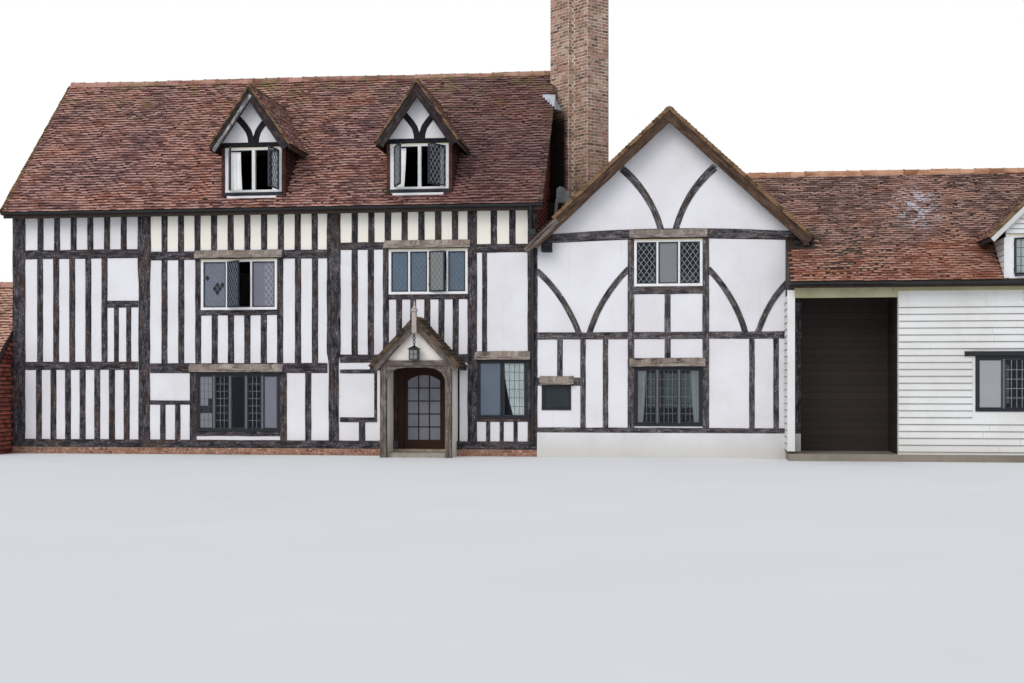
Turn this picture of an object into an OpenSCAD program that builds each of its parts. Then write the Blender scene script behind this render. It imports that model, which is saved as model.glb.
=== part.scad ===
// Half timbered house: a close studded main range with two dormers and a porch,
// a gabled cross wing, a chimney stack, a boarded range and a tile hung outhouse.
// X runs along the front to the right, the front faces -Y, and Z is up from the ground.

/* [Main range] */
// Length of the main range along the front
main_length = 12410; // [11000:10:13600]
// Depth of the main range and of the cross wing, front to back
main_depth = 6400; // [6000:50:7200]
// Height of the outer wall face up to the underside of the roof
main_wall_h = 5840; // [5650:10:6200]
// Pitch of the main roof in degrees
main_pitch = 46; // [42:1:52]
// How far the eaves stand out from the wall
main_eave = 350; // [250:10:500]
// Bay from the left end to the middle of the second post; the four bays share out the length
left_bay = 3220; // [3000:10:3400]
// Bay from the second post to the third, middle to middle
middle_bay = 4520; // [4300:10:4600]
// Bay from the third post to the fourth, middle to middle
right_bay = 3200; // [3120:10:3300]
// Bay from the fourth post to the right end
end_bay = 1470; // [1400:10:1560]
// Thickness of the framed walls
wall_t = 180; // [150:5:240]
// Height of the main range's plinth and ground floor
main_plinth_h = 150; // [100:10:250]
// Top of the main range's first floor
main_floor_z = 2250; // [2200:10:2290]
// Top of the main range's attic floor
main_attic_z = 4900; // [4800:10:5100]
// Thickness of the upper floors
floor_t = 180; // [120:10:240]

/* [Timbers] */
// Width of a stud
stud_w = 138; // [100:2:170]
// Width of a principal post
post_w = 300; // [240:5:340]
// Depth of a timber, outer face to the plaster behind it
timber_d = 120; // [90:5:140]
// How far a timber stands in front of the panels
timber_proud = 15; // [8:1:30]
// Spacing of the studs
stud_pitch = 400; // [360:5:430]
// Height of the sill beam under the studs
sill_h = 180; // [140:5:220]

/* [Cross wing] */
// Width of the cross wing
wing_width = 5780; // [5600:10:6400]
// Height of the wing's outer wall face up to the underside of the roof
wing_wall_h = 4800; // [4780:10:5000]
// Pitch of the wing's roof in degrees
wing_pitch = 43; // [40:1:46]
// How far the wing's roof stands out in front of its gables
wing_verge = 350; // [250:10:450]
// How far the wing's eaves stand out beyond its side
wing_eave = 120; // [100:10:280]
// How far the wing's ridge stands to the right of its middle
wing_ridge_off = 50; // [0:10:80]
// Height of the wing's rendered plinth
wing_plinth_h = 540; // [400:10:600]
// Top of the wing's first floor
wing_floor_z = 2770; // [2700:10:2900]
// Middle of the wing's left post, from its left edge
wing_post_in = 2090; // [2000:10:2200]
// Depth of a bargeboard
bargeboard_h = 280; // [180:5:320]
// Thickness of a bargeboard
bargeboard_t = 40; // [25:1:60]

/* [Roofs] */
// Thickness of a roof from tile face to rafter underside
roof_t = 120; // [90:5:160]
// Radius of the ridge tiles
ridge_r = 120; // [90:5:150]
// How far the main roof passes the left gable
left_verge = 70; // [40:5:150]
// How far the main roof passes the right gable
right_verge = 140; // [120:5:250]
// Radius of a gutter
gutter_r = 52; // [40:1:70]
// Wall of a gutter and of the downpipe
gutter_t = 8; // [4:1:12]
// Radius of the downpipe
pipe_r = 42; // [30:1:50]

/* [Dormers] */
// Width of a dormer's front
dormer_w = 1470; // [1300:10:1600]
// Height of a dormer's ridge above the ground
dormer_ridge_z = 8430; // [8300:10:8560]
// Pitch of a dormer's roof in degrees
dormer_pitch = 55; // [50:1:58]
// Width of a dormer's roof from eave to eave
dormer_roof_w = 1880; // [1800:10:2000]
// Thickness of a dormer's cheeks and front
dormer_t = 100; // [70:5:130]
// How far a dormer's roof stands out in front of it
dormer_verge = 300; // [200:10:340]
// Depth of the boards along its verges, measured upright
dormer_board_h = 300; // [200:10:320]
// Thickness of a dormer's roof
dormer_roof_t = 80; // [60:5:110]
// Middle of the left dormer, from the left end, laid out like the bays
left_dormer_at = 5870; // [5500:10:6000]
// Middle of the right dormer, from the left end, laid out like the bays
right_dormer_at = 9745; // [9500:5:9900]

/* [Porch] */
// Middle of the porch and of the front door, from the left end, laid out like the bays
porch_at = 9810; // [9700:10:9900]
// Width of the porch over its posts
porch_w = 1600; // [1500:10:1700]
// How far the porch stands out from the wall
porch_out = 850; // [700:10:1100]
// Side of a porch post
porch_post = 140; // [110:5:160]
// Underside of the porch's tie beam
porch_tie_z = 2030; // [1980:5:2100]
// Pitch of the porch roof in degrees
porch_pitch = 47; // [43:1:50]
// How far the porch roof passes its posts
porch_eave = 200; // [120:10:250]

/* [Front door] */
// Width of the doorway in the wall
doorway_w = 1160; // [1100:10:1200]
// Head of the doorway above the ground
doorway_z = 2000; // [1950:10:2030]
// Width of the door leaf
leaf_w = 940; // [880:5:1000]
// Thickness of the door leaf
leaf_t = 50; // [40:1:60]
// Gap round the door leaf
leaf_gap = 6; // [5:0.5:10]

/* [Windows] */
// Width of the front's windows on the first floor
upper_window_w = 1820; // [1600:10:1860]
// Width of the middle bay's window on the ground floor
lower_window_w = 2000; // [1800:10:2100]
// Width of the windows at the back
back_window_w = 1500; // [1200:10:1600]
// Width of a window frame's members
frame_w = 60; // [45:1:75]
// Depth of a window frame
frame_d = 80; // [60:5:100]
// Width of the members at the sides of a dormer's window
dormer_frame_w = 100; // [60:5:110]
// Width of a mullion
mullion_w = 45; // [30:1:60]
// Width of a casement's bars round the glass
casement_w = 28; // [20:1:36]
// Thickness of the glass
glass_t = 6; // [4:1:10]
// How far a hood stands out
hood_out = 100; // [70:5:140]
// Height of a hood
hood_h = 180; // [140:5:200]

/* [Chimney] */
// Side of each square shaft
shaft_side = 680; // [620:10:720]
// Step from the first shaft's middle to the second's, along the front
shaft_step_x = 475; // [440:5:500]
// Step from the first shaft's middle to the second's, towards the front
shaft_step_y = 224; // [180:4:240]
// Height of the shafts below the cap
shaft_top_z = 11700; // [11400:10:12000]
// Height of one course of the cap
cap_course_h = 76; // [65:1:85]
// How far each course of the cap oversails
cap_step = 30; // [20:1:40]
// Width of a flue
flue_w = 260; // [220:5:300]
// Top of the stack's rectangular base
base_top_z = 5950; // [5850:10:6100]

/* [Boarded range] */
// Length of the boarded range from the wing to its gable
range_length = 7120; // [6900:10:7600]
// Depth of the boarded range
range_depth = 6000; // [5600:10:6400]
// How far the boarded range stands in front of the wing
range_out = 1000; // [900:10:1100]
// Height of its wall face up to the underside of the roof
range_wall_h = 3870; // [3800:10:3900]
// Pitch of its roof in degrees
range_pitch = 39.5; // [38:0.5:43]
// How far its eaves stand out
range_eave = 300; // [250:10:350]
// Width of the open recess beside the wing
recess_w = 1920; // [1700:10:2000]
// Depth of the open recess
recess_d = 1500; // [1300:10:1600]
// Top of its first floor
range_floor_z = 2560; // [2500:10:2650]
// Underside of the beam over the recess
recess_beam_z = 3440; // [3300:10:3500]
// Middle of its dormer, from the wing
range_dormer_at = 4720; // [4600:10:4900]
// Width of its dormer's front
range_dormer_w = 1400; // [1300:10:1500]
// Height of its dormer's ridge
range_dormer_z = 5680; // [5600:10:5750]

/* [Outhouse] */
// Length of the outhouse
shed_length = 3200; // [2800:10:4000]
// How far the outhouse stands in front of the main range
shed_out = 950; // [850:10:1100]
// Depth of the outhouse
shed_depth = 4440; // [4000:10:4800]
// Height of its wall face up to the underside of the roof
shed_wall_h = 1890; // [1850:10:2100]
// Pitch of its roof in degrees
shed_pitch = 42; // [38:1:45]

/* [Hidden] */

// Larger than the house, for cuts that pass right through
far = 30000;
eps = 20;

// Where the ranges stand
main_x1 = 1500;
main_x0 = main_x1 - main_length;
main_half = main_depth / 2;
front_y = -main_half;
back_y = main_half;
timber_y = front_y - timber_proud;
wing_x1 = main_x1 + wing_width;
wing_mid = (main_x1 + wing_x1) / 2;
wing_ridge_x = wing_mid + wing_ridge_off;
wing_half = wing_width / 2;
range_x1 = wing_x1 + range_length;
range_y0 = front_y - range_out;
range_y1 = range_y0 + range_depth;
range_mid = (range_y0 + range_y1) / 2;
range_half = range_depth / 2;
shed_x1 = main_x0 - timber_proud;
shed_x0 = shed_x1 - shed_length;
shed_y0 = front_y - shed_out;
shed_y1 = shed_y0 + shed_depth;
shed_mid = (shed_y0 + shed_y1) / 2;
shed_half = shed_depth / 2;
shed_wall_t = 150;

// A roof: [line of its ridge, half its span, eave, wall height, pitch, thickness]
main_slopes = [0, main_half, main_eave, main_wall_h, main_pitch, roof_t];
wing_slopes = [wing_ridge_x, wing_half, wing_eave + 40, wing_wall_h, wing_pitch, roof_t];
range_slopes = [range_mid, range_half, range_eave, range_wall_h, range_pitch, roof_t];
shed_slopes = [shed_mid, shed_half, 150, shed_wall_h, shed_pitch, roof_t];
function roof_run(r) = r[1] + r[2];
// Height of a roof's underside and of its tiles, d from the line of its ridge
function roof_under(r, d) = r[3] + (r[1] - abs(d)) * tan(r[4]);
function roof_top(r, d) = roof_under(r, d) + r[5] / cos(r[4]);

// Extrude a (Y, Z) outline along X, or an (X, Z) outline along Y
module along_x(x0, x1) {
    translate([x0, 0, 0]) rotate([90, 0, 90]) linear_extrude(x1 - x0) children();
}
module along_y(y0, y1) {
    translate([0, y1, 0]) rotate([90, 0, 0]) linear_extrude(y1 - y0) children();
}
// One slope of a roof, side -1 or 1
module slope_2d(r, side) {
    run = side * roof_run(r);
    polygon([[r[0], roof_under(r, 0)], [r[0], roof_top(r, 0)], [r[0] + run, roof_top(r, run)],
        [r[0] + run, roof_under(r, run)]]);
}
// Everything below a roof's underside, or below its tiles
module below_2d(r, apex, foot) {
    run = roof_run(r);
    polygon([[r[0], apex], [r[0] + run, foot], [r[0] + run, -far], [r[0] - run, -far],
        [r[0] - run, foot]]);
}
module below_roof_2d(r) { below_2d(r, roof_under(r, 0), roof_under(r, roof_run(r))); }
module below_tiles_2d(r) { below_2d(r, roof_top(r, 0), roof_top(r, roof_run(r))); }
// Outline of a wall from a to b, its top cut to the underside of its roof
module wall_2d(r, a, b, z0) {
    intersection() {
        below_roof_2d(r);
        translate([min(a, b), z0]) square([abs(b - a), far]);
    }
}
// A board that follows the underside of a roof
module verge_board_2d(r, depth) {
    difference() {
        below_roof_2d(r);
        translate([0, -depth]) below_roof_2d(r);
    }
}

// Places of the framed walls: X to the right as seen from outside, outer face on Y = 0
module at_front() { translate([0, front_y, 0]) children(); }
module at_back() { translate([0, back_y, 0]) rotate(180) children(); }
module at_left() { translate([main_x0, 0, 0]) rotate(-90) children(); }

// Timbers
module bar(x0, x1, z0, z1) {
    translate([x0, -timber_proud, z0]) cube([x1 - x0, timber_d, z1 - z0]);
}
module upright(x, z0, z1, w = stud_w) { bar(x - w / 2, x + w / 2, z0, z1); }
// Studs from x0 to x1, as near to the given pitch as fits
module studs(x0, x1, z0, z1, w = stud_w, pitch = stud_pitch) {
    n = round((x1 - x0) / pitch);
    if (n < 1) upright((x0 + x1) / 2, z0, z1, w);
    else for (i = [0 : n]) upright(x0 + i * (x1 - x0) / n, z0, z1, w);
}
// A post whose head swells out to carry the plate
module jowled_post(x, z0, z1, w_foot, w_head, jowl_z) {
    along_y(-timber_proud, timber_d - timber_proud)
        polygon([[x - w_foot / 2, z0], [x + w_foot / 2, z0], [x + w_foot / 2, jowl_z],
            [x + w_head / 2, jowl_z + 250], [x + w_head / 2, z1], [x - w_head / 2, z1],
            [x - w_head / 2, jowl_z + 250], [x - w_foot / 2, jowl_z]]);
}
// Points of an arc from p to q that bulges by sag to its left
brace_steps = 10;
function arc_points(p, q, sag) = let (
        dx = q[0] - p[0], dz = q[1] - p[1], chord = norm([dx, dz]),
        nx = -dz / chord, nz = dx / chord)
    [for (i = [0 : brace_steps]) let (t = i / brace_steps, s = 4 * sag * t * (1 - t))
        [p[0] + dx * t + nx * s, p[1] + dz * t + nz * s]];
// A curved brace between the middles of its two ends
module curved_brace(p, q, sag, w) {
    dx = q[0] - p[0];
    dz = q[1] - p[1];
    chord = norm([dx, dz]);
    off = [-dz / chord * w / 2, dx / chord * w / 2];
    upper = [for (v = arc_points(p, q, sag)) v + off];
    lower = [for (v = arc_points(p, q, sag)) v - off];
    along_y(-timber_proud, timber_d - timber_proud)
        polygon(concat(upper, [for (i = [brace_steps : -1 : 0]) lower[i]]));
}

// Windows: [middle, sill, head, width, lights, open casements as [light, angle, hinge side],
// and the width of the side members where they are broader]
function is_open(w, i) = len([for (o = w[5]) if (o[0] == i) 1]) > 0;
function win_x0(w) = w[0] - w[3] / 2;
function win_x1(w) = w[0] + w[3] / 2;
function side_w(w) = len(w) > 6 ? w[6] : frame_w;
function light_w(w) = (w[3] - 2 * side_w(w) - (w[4] - 1) * mullion_w) / w[4];
function light_x(w, i) = win_x0(w) + side_w(w) + i * (light_w(w) + mullion_w);
function light_z(w) = w[1] + frame_w;
function light_h(w) = w[2] - w[1] - 2 * frame_w;
casement_d = 36;
module window_hole(w) {
    translate([win_x0(w), -timber_proud - eps, w[1]])
        cube([w[3], wall_t + timber_proud + 2 * eps, w[2] - w[1]]);
}
module sash(width, height) {
    difference() {
        cube([width, casement_d, height]);
        translate([casement_w, -eps, casement_w])
            cube([width - 2 * casement_w, casement_d + 2 * eps, height - 2 * casement_w]);
    }
}
module sash_glass(width, height) {
    translate([casement_w, (casement_d - glass_t) / 2, casement_w])
        cube([width - 2 * casement_w, glass_t, height - 2 * casement_w]);
}
module window_frame(w) {
    difference() {
        translate([win_x0(w), -timber_proud, w[1]]) cube([w[3], frame_d, w[2] - w[1]]);
        for (i = [0 : w[4] - 1])
            translate([light_x(w, i), -timber_proud - eps, light_z(w)])
                cube([light_w(w), frame_d + 2 * eps, light_h(w)]);
    }
    for (i = [0 : w[4] - 1]) if (!is_open(w, i))
        translate([light_x(w, i), 0, light_z(w)]) sash(light_w(w), light_h(w));
}
module window_panes(w) {
    for (i = [0 : w[4] - 1]) if (!is_open(w, i))
        translate([light_x(w, i), 0, light_z(w)]) sash_glass(light_w(w), light_h(w));
}
// A casement that stands open, hung on the left (0) or right (1) of its light
lug_w = 30;
lug_h = 50;
function hinge_line(w, o) = light_x(w, o[0]) + o[2] * light_w(w);
module open_place(w, o) {
    translate([hinge_line(w, o), -timber_proud, light_z(w)]) rotate(o[2] == 0 ? -o[1] : o[1])
        translate([o[2] == 0 ? 0 : -light_w(w), -casement_d, 0]) children();
}
module open_casement(w) {
    for (o = w[5]) {
        open_place(w, o) sash(light_w(w), light_h(w));
        for (z = [0.15, 0.8])
            translate([hinge_line(w, o) - lug_w + o[2] * lug_w, -timber_proud - lug_w / 2,
                light_z(w) + z * light_h(w)])
                cube([lug_w, lug_w / 2, lug_h]);
    }
}
module open_casement_glass(w) {
    for (o = w[5]) open_place(w, o) sash_glass(light_w(w), light_h(w));
}
// A weathering board over a window
module hood(x0, x1, z0) {
    along_x(x0, x1)
        polygon([[-timber_proud, z0], [-timber_proud - hood_out, z0 - hood_h * 0.1],
            [-timber_proud - hood_out, z0 + hood_h * 0.35], [-timber_proud, z0 + hood_h]]);
}

// Main range: posts, levels and windows of the front
end_post_w = 210;
stretch = main_length / (left_bay + middle_bay + right_bay + end_bay);
function along(d) = main_x0 + d * stretch;
post_1 = along(left_bay);
post_2 = along(left_bay + middle_bay);
post_3 = along(left_bay + middle_bay + right_bay);
wide_post_w = 200;
sill_top = main_plinth_h + sill_h;
plate_h = 310;
plate_top = main_wall_h - timber_proud * tan(main_pitch);
plate_z = plate_top - plate_h;
corner_x = main_x0 - timber_proud + post_w;
end_post_x = main_x1 - end_post_w;
// Rails of the left, middle and right bays: [underside, top]
left_mid = [main_floor_z - 290, main_floor_z - 110];
middle_mid = [main_floor_z - 370, main_floor_z - 150];
right_mid = [main_floor_z - 140, main_floor_z + 40];
end_mid = [main_floor_z - 80, main_floor_z + 80];
left_upper = [main_attic_z - 340, main_attic_z - 140];
middle_upper = [main_attic_z - 400, main_attic_z - 210];
right_upper = [main_attic_z - 220, main_attic_z - 60];
end_upper = [main_attic_z - 320, main_attic_z - 140];

window_1 = [(post_1 + post_2) / 2 + 20, main_floor_z + 1080, middle_upper[0], upper_window_w, 3,
    [[1, 44, 0]]];
window_2 = [post_3 - (wide_post_w + upper_window_w) / 2, main_floor_z + 1400, right_upper[0],
    upper_window_w, 4, [[2, 20, 0]]];
window_3 = [(post_1 + post_2) / 2, main_plinth_h + 380, middle_mid[0], lower_window_w, 5, []];
window_4 = [(post_3 + wide_post_w / 2 + end_post_x) / 2, main_plinth_h + 690, end_mid[0],
    end_post_x - post_3 - wide_post_w / 2, 2, []];
front_windows = [window_1, window_2, window_3, window_4];
door_x = along(porch_at);
doorway_x0 = door_x - doorway_w / 2;
doorway_x1 = door_x + doorway_w / 2;

// Uprights that stand against both sides of a window
module beside(w, z0, z1, t) {
    bar(win_x0(w) - t, win_x0(w), z0, z1);
    bar(win_x1(w), win_x1(w) + t, z0, z1);
}

module left_bay_timbers() {
    x1 = post_1 - post_w / 2;
    bar(corner_x, x1, left_mid[0], left_mid[1]);
    bar(corner_x, x1, left_upper[0], left_upper[1]);
    studs(corner_x + 385, x1 - 350, left_upper[1], plate_z);
    last_x = x1 - 822;
    studs(corner_x + 375, last_x, left_mid[1], left_upper[0]);
    // The short rail beside the plain panel, and its two studs
    short_z = main_floor_z + 1160;
    bar(last_x + stud_w / 2, x1, short_z, short_z + 150);
    studs(x1 - 530, x1 - 230, left_mid[1], short_z, 112, 300);
    studs(corner_x + 345, x1 - 280, sill_top, left_mid[0], stud_w, stud_pitch - 40);
}
module middle_bay_timbers() {
    x0 = post_1 + post_w / 2;
    x1 = post_2 - post_w / 2;
    bar(x0, x1, middle_mid[0], middle_mid[1]);
    bar(x0, x1, middle_upper[0], middle_upper[1]);
    studs(x0 + 340, x1 - 298, middle_upper[1], plate_z);
    beside(window_1, middle_mid[1], middle_upper[0], 135);
    studs(x0 + 340, win_x0(window_1) - 475, middle_mid[1], middle_upper[0]);
    studs(win_x1(window_1) + 490, x1 - 290, middle_mid[1], middle_upper[0]);
    bar(win_x0(window_1), win_x1(window_1), window_1[1] - 120, window_1[1]);
    studs(win_x0(window_1) + 330, win_x1(window_1) - 320, middle_mid[1], window_1[1] - 120);
    beside(window_3, sill_top, middle_mid[0], 155);
    bar(win_x0(window_3), win_x1(window_3), window_3[1] - 100, window_3[1]);
    bar(x0, win_x0(window_3) - 155, main_plinth_h + 1000, main_plinth_h + 1090);
    studs(x0 + 300, win_x0(window_3) - 450, sill_top, main_plinth_h + 1000, 122, 360);
    upright(x1 - 450, sill_top, middle_mid[0]);
}
module right_bay_timbers() {
    x0 = post_2 + post_w / 2;
    x1 = post_3 - wide_post_w / 2;
    bar(x0, x1, right_mid[0], right_mid[1]);
    bar(x0, x1, right_upper[0], right_upper[1]);
    studs(x0 + 340, x1 - 294, right_upper[1], plate_z);
    studs(x0 + 340, win_x0(window_2) - 415, right_mid[1], right_upper[0]);
    bar(win_x0(window_2) - 130, win_x0(window_2), right_mid[1], right_upper[0]);
    bar(win_x0(window_2), x1, window_2[1] - 110, window_2[1]);
    studs(win_x0(window_2) + 240, x1 - 280, right_mid[1], window_2[1] - 110, 130,
        stud_pitch - 75);
    // Beside the porch, and the two posts of the doorway
    porch_side_x = door_x - 1060;
    low_z = main_plinth_h + 610;
    high_z = main_floor_z - 380;
    bar(x0, porch_side_x, high_z, high_z + 80);
    bar(x0, porch_side_x, low_z, low_z + 100);
    bar(porch_side_x - 65, porch_side_x, low_z + 100, high_z);
    upright((x0 + porch_side_x) / 2 + 80, sill_top, low_z);
    bar(doorway_x0 - 100, doorway_x0, sill_top, right_mid[0]);
    bar(doorway_x1, doorway_x1 + 100, sill_top, right_mid[0]);
}
module end_bay_timbers() {
    x0 = post_3 + wide_post_w / 2;
    bar(x0, end_post_x, end_mid[0], end_mid[1]);
    bar(x0, end_post_x, end_upper[0], end_upper[1]);
    studs(x0 + 390, end_post_x - 350, end_upper[1], plate_z);
    upright(x0 + 180, end_mid[1], end_upper[0], 105);
    bar(x0, end_post_x, window_4[1] - 60, window_4[1]);
    studs(x0 + 260, end_post_x - 280, sill_top, window_4[1] - 60, 85, stud_pitch - 90);
}
module main_front_timbers() {
    bar(corner_x, main_x1, plate_z, plate_top);
    bar(corner_x, doorway_x0, main_plinth_h, sill_top);
    bar(doorway_x1, main_x1, main_plinth_h, sill_top);
    jowled_post(post_1, sill_top, plate_z, post_w - 40, post_w,
        main_floor_z + 1750);
    jowled_post(post_2, sill_top, plate_z, post_w - 80, post_w,
        main_floor_z - 150);
    upright(post_3, sill_top, plate_z, wide_post_w);
    bar(end_post_x, main_x1, sill_top, plate_z);
    left_bay_timbers();
    middle_bay_timbers();
    right_bay_timbers();
    end_bay_timbers();
}
module main_front_frame() {
    color("#2b2826") at_front() main_front_timbers();
}
// Plaster of the front, pocketed for the timbers
module front_plaster() {
    color("#e9e8e6") difference() {
        children();
        at_front() {
            main_front_timbers();
            for (w = front_windows) window_hole(w);
        }
    }
}
module beside_door(x0, x1) {
    front_plaster() translate([x0, front_y, main_plinth_h])
        cube([x1 - x0, wall_t, doorway_z - main_plinth_h]);
}
module front_wall_left() { beside_door(corner_x, doorway_x0); }
module front_wall_right() { beside_door(doorway_x1, main_x1); }
module above_door(x0, x1) {
    front_plaster() along_x(x0, x1)
        wall_2d(main_slopes, front_y, front_y + wall_t, doorway_z);
}
// The two upper pieces meet behind the post between the middle and right bays
module upper_wall_left() { above_door(corner_x, post_2); }
module upper_wall_right() { above_door(post_2, main_x1); }

// Square posts at the two corners that stand free
module corner_posts() {
    color("#2b2826") for (s = [-1, 1])
        along_x(main_x0 - timber_proud, corner_x)
            wall_2d(main_slopes, s * (main_half + timber_proud), s * (main_half - wall_t),
                main_plinth_h);
}

// The back repeats the storeys of the front, local X is -X of the house
back_x0 = -main_x1;
back_x1 = -corner_x;
back_bays = [[-post_3, -post_2], [-post_2, -post_1], [-post_1, back_x1]];
back_windows = [for (b = back_bays, upper = [true, false])
    [(b[0] + b[1]) / 2, upper ? main_floor_z + 1200 : main_plinth_h + 650,
        upper ? left_upper[0] : left_mid[0], back_window_w, 3, []]];
// Where a window stands over it, a stud ends under the window's sill rail
function stud_top(x, z0, z1, list) = min(concat([z1], [for (w = list)
    if (abs(x - w[0]) < (w[3] + stud_w) / 2 && w[1] > z0 && w[1] < z1) w[1] - 120]));
module plain_studs(x0, x1, z0, z1, list) {
    n = floor((x1 - x0) / stud_pitch);
    pitch = (x1 - x0) / n;
    for (i = [1 : n - 1])
        upright(x0 + i * pitch, z0, stud_top(x0 + i * pitch, z0, z1, list));
}
module window_surround(w, z0) {
    beside(w, z0, w[2], stud_w);
    bar(win_x0(w), win_x1(w), w[1] - 120, w[1]);
}
module main_back_timbers() {
    posts = [back_x0 + post_w / 2, -post_3, -post_2, -post_1, back_x1 + post_w / 2];
    bar(back_x0, back_x1, main_plinth_h, sill_top);
    bar(back_x0, back_x1, left_mid[0], left_mid[1]);
    bar(back_x0, back_x1, left_upper[0], left_upper[1]);
    bar(back_x0, back_x1, plate_z, plate_top);
    for (i = [0 : 3]) upright(posts[i], sill_top, plate_z, post_w);
    for (i = [0 : 3]) {
        a = posts[i] + post_w / 2;
        b = posts[i + 1] - post_w / 2;
        plain_studs(a, b, sill_top, left_mid[0], back_windows);
        plain_studs(a, b, left_mid[1], left_upper[0], back_windows);
        plain_studs(a, b, left_upper[1], plate_z, back_windows);
    }
    for (w = back_windows) window_surround(w, w[1] < 2000 ? sill_top : left_mid[1]);
}
module main_back_frame() {
    color("#2b2826") at_back() main_back_timbers();
}
module main_back_wall() {
    color("#e9e8e6") difference() {
        along_x(corner_x, main_x1)
            wall_2d(main_slopes, back_y, back_y - wall_t, main_plinth_h);
        at_back() {
            main_back_timbers();
            for (w = back_windows) window_hole(w);
        }
    }
}

// Gables of the main range
gable_half = main_half - wall_t;
left_windows = [[0, main_floor_z + 1200, left_upper[0], back_window_w - 200, 2, []]];
module main_gable_2d(z0) {
    wall_2d(main_slopes, -gable_half, gable_half, z0);
}
module main_left_bars() {
    attic_rail = main_wall_h + 100;
    bar(-gable_half, gable_half, main_plinth_h, sill_top);
    bar(-gable_half, gable_half, left_mid[0], left_mid[1]);
    bar(-gable_half, gable_half, left_upper[0], left_upper[1]);
    bar(-gable_half, gable_half, attic_rail, attic_rail + 200);
    for (s = [-1, 1]) upright(s * 1200, left_mid[1], attic_rail, post_w - 60);
    upright(0, attic_rail + 200, far, post_w - 60);
    plain_studs(-gable_half, gable_half, sill_top, left_mid[0], []);
    plain_studs(-gable_half, gable_half, left_mid[1], left_upper[0], left_windows);
    plain_studs(-gable_half, gable_half, left_upper[1], attic_rail, []);
    plain_studs(-gable_half, gable_half, attic_rail + 200, far / 2, []);
    window_surround(left_windows[0], left_mid[1]);
}
module main_left_frame() {
    color("#2b2826") at_left() intersection() {
        main_left_bars();
        along_y(-timber_proud, wall_t) main_gable_2d(0);
    }
}
module main_left_wall() {
    color("#e9e8e6") difference() {
        at_left() along_y(0, wall_t) main_gable_2d(main_plinth_h);
        at_left() {
            main_left_bars();
            for (w = left_windows) window_hole(w);
        }
    }
}
module main_right_wall() {
    color("#a8715c") along_x(main_x1 - wall_t, main_x1) main_gable_2d(main_plinth_h);
}

// Plinths and floors
plinth_out = 30;
module main_plinth() {
    color("#8d7a6c") difference() {
        translate([main_x0 - timber_proud, timber_y - plinth_out, 0])
            cube([main_length + timber_proud, main_depth + 2 * timber_proud + 2 * plinth_out,
                main_plinth_h]);
        translate([main_x0 + wall_t, front_y + wall_t, -eps])
            cube([main_length - 2 * wall_t, main_depth - 2 * wall_t, main_plinth_h + 2 * eps]);
        // The porch stands against the timbers
        translate([door_x - porch_w / 2, front_y - far, -eps])
            cube([porch_w, far - timber_proud, far]);
    }
}
module main_floor(top, t) {
    translate([main_x0 + wall_t, front_y + wall_t, top - t])
        cube([main_length - 2 * wall_t, main_depth - 2 * wall_t, t]);
}
module main_ground_floor() { color("#8b6f5a") main_floor(main_plinth_h, main_plinth_h); }
module main_upper_floors() {
    color("#7a5c43") for (top = [main_floor_z, main_attic_z]) main_floor(top, floor_t);
}

// Chimney: two square shafts set diagonally on a rectangular base
shaft_r = shaft_side / sqrt(2);
shaft_1 = [main_x1 + shaft_r, -320];
shaft_2 = [shaft_1[0] + shaft_step_x, shaft_1[1] - shaft_step_y];
base_x1 = shaft_2[0] + shaft_r + 70;
base_y0 = shaft_2[1] - shaft_r - 130;
base_y1 = shaft_1[1] + shaft_r + 90;
module shafts_2d(grow) {
    for (c = [shaft_1, shaft_2]) translate(c) rotate(45)
        square(shaft_side + 2 * grow, center = true);
}
module stack_base(z0, z1) {
    translate([main_x1, base_y0, z0]) cube([base_x1 - main_x1, base_y1 - base_y0, z1 - z0]);
}
module chimney_stack() {
    color("#a5644a") {
        stack_base(main_plinth_h, base_top_z);
        translate([0, 0, base_top_z]) linear_extrude(shaft_top_z - base_top_z) shafts_2d(0);
    }
}
cap_courses = 7;
// Each course of the cap steps out, then in again
function cap_grow(i) = cap_step * (i < 4 ? i + 1 : (i < 6 ? 3 : 1));
module chimney_cap() {
    cap_h = cap_courses * cap_course_h;
    color("#8f5540") difference() {
        for (i = [0 : cap_courses - 1])
            translate([0, 0, shaft_top_z + i * cap_course_h])
                linear_extrude(cap_course_h) shafts_2d(cap_grow(i));
        for (c = [shaft_1, shaft_2])
            translate([c[0], c[1], shaft_top_z + cap_h / 2]) rotate(45)
                cube([flue_w, flue_w, cap_h + 2 * eps], center = true);
    }
}

// Main roof, notched round the chimney
roof_x0 = main_x0 - left_verge;
roof_x1 = main_x1 + right_verge;
left_dormer_x = along(left_dormer_at);
right_dormer_x = along(right_dormer_at);
// Front face of a dormer, in line with the wall below
dormer_y = front_y - 80;
dormer_hole_y = front_y * 0.625;
module main_slope(side) {
    along_x(roof_x0, roof_x1) slope_2d(main_slopes, side);
}
module main_roof_front() {
    inner_w = dormer_w - 2 * dormer_t;
    color("#7d4a3c") difference() {
        main_slope(-1);
        translate([0, 0, -eps]) linear_extrude(far) shafts_2d(0);
        for (x = [left_dormer_x, right_dormer_x])
            translate([x - inner_w / 2, dormer_y + dormer_t, 0])
                cube([inner_w, dormer_hole_y - dormer_y - dormer_t, far]);
    }
}
module main_roof_back() {
    color("#7d4a3c") difference() {
        main_slope(1);
        translate([0, 0, -eps]) linear_extrude(far) shafts_2d(0);
    }
}

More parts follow.
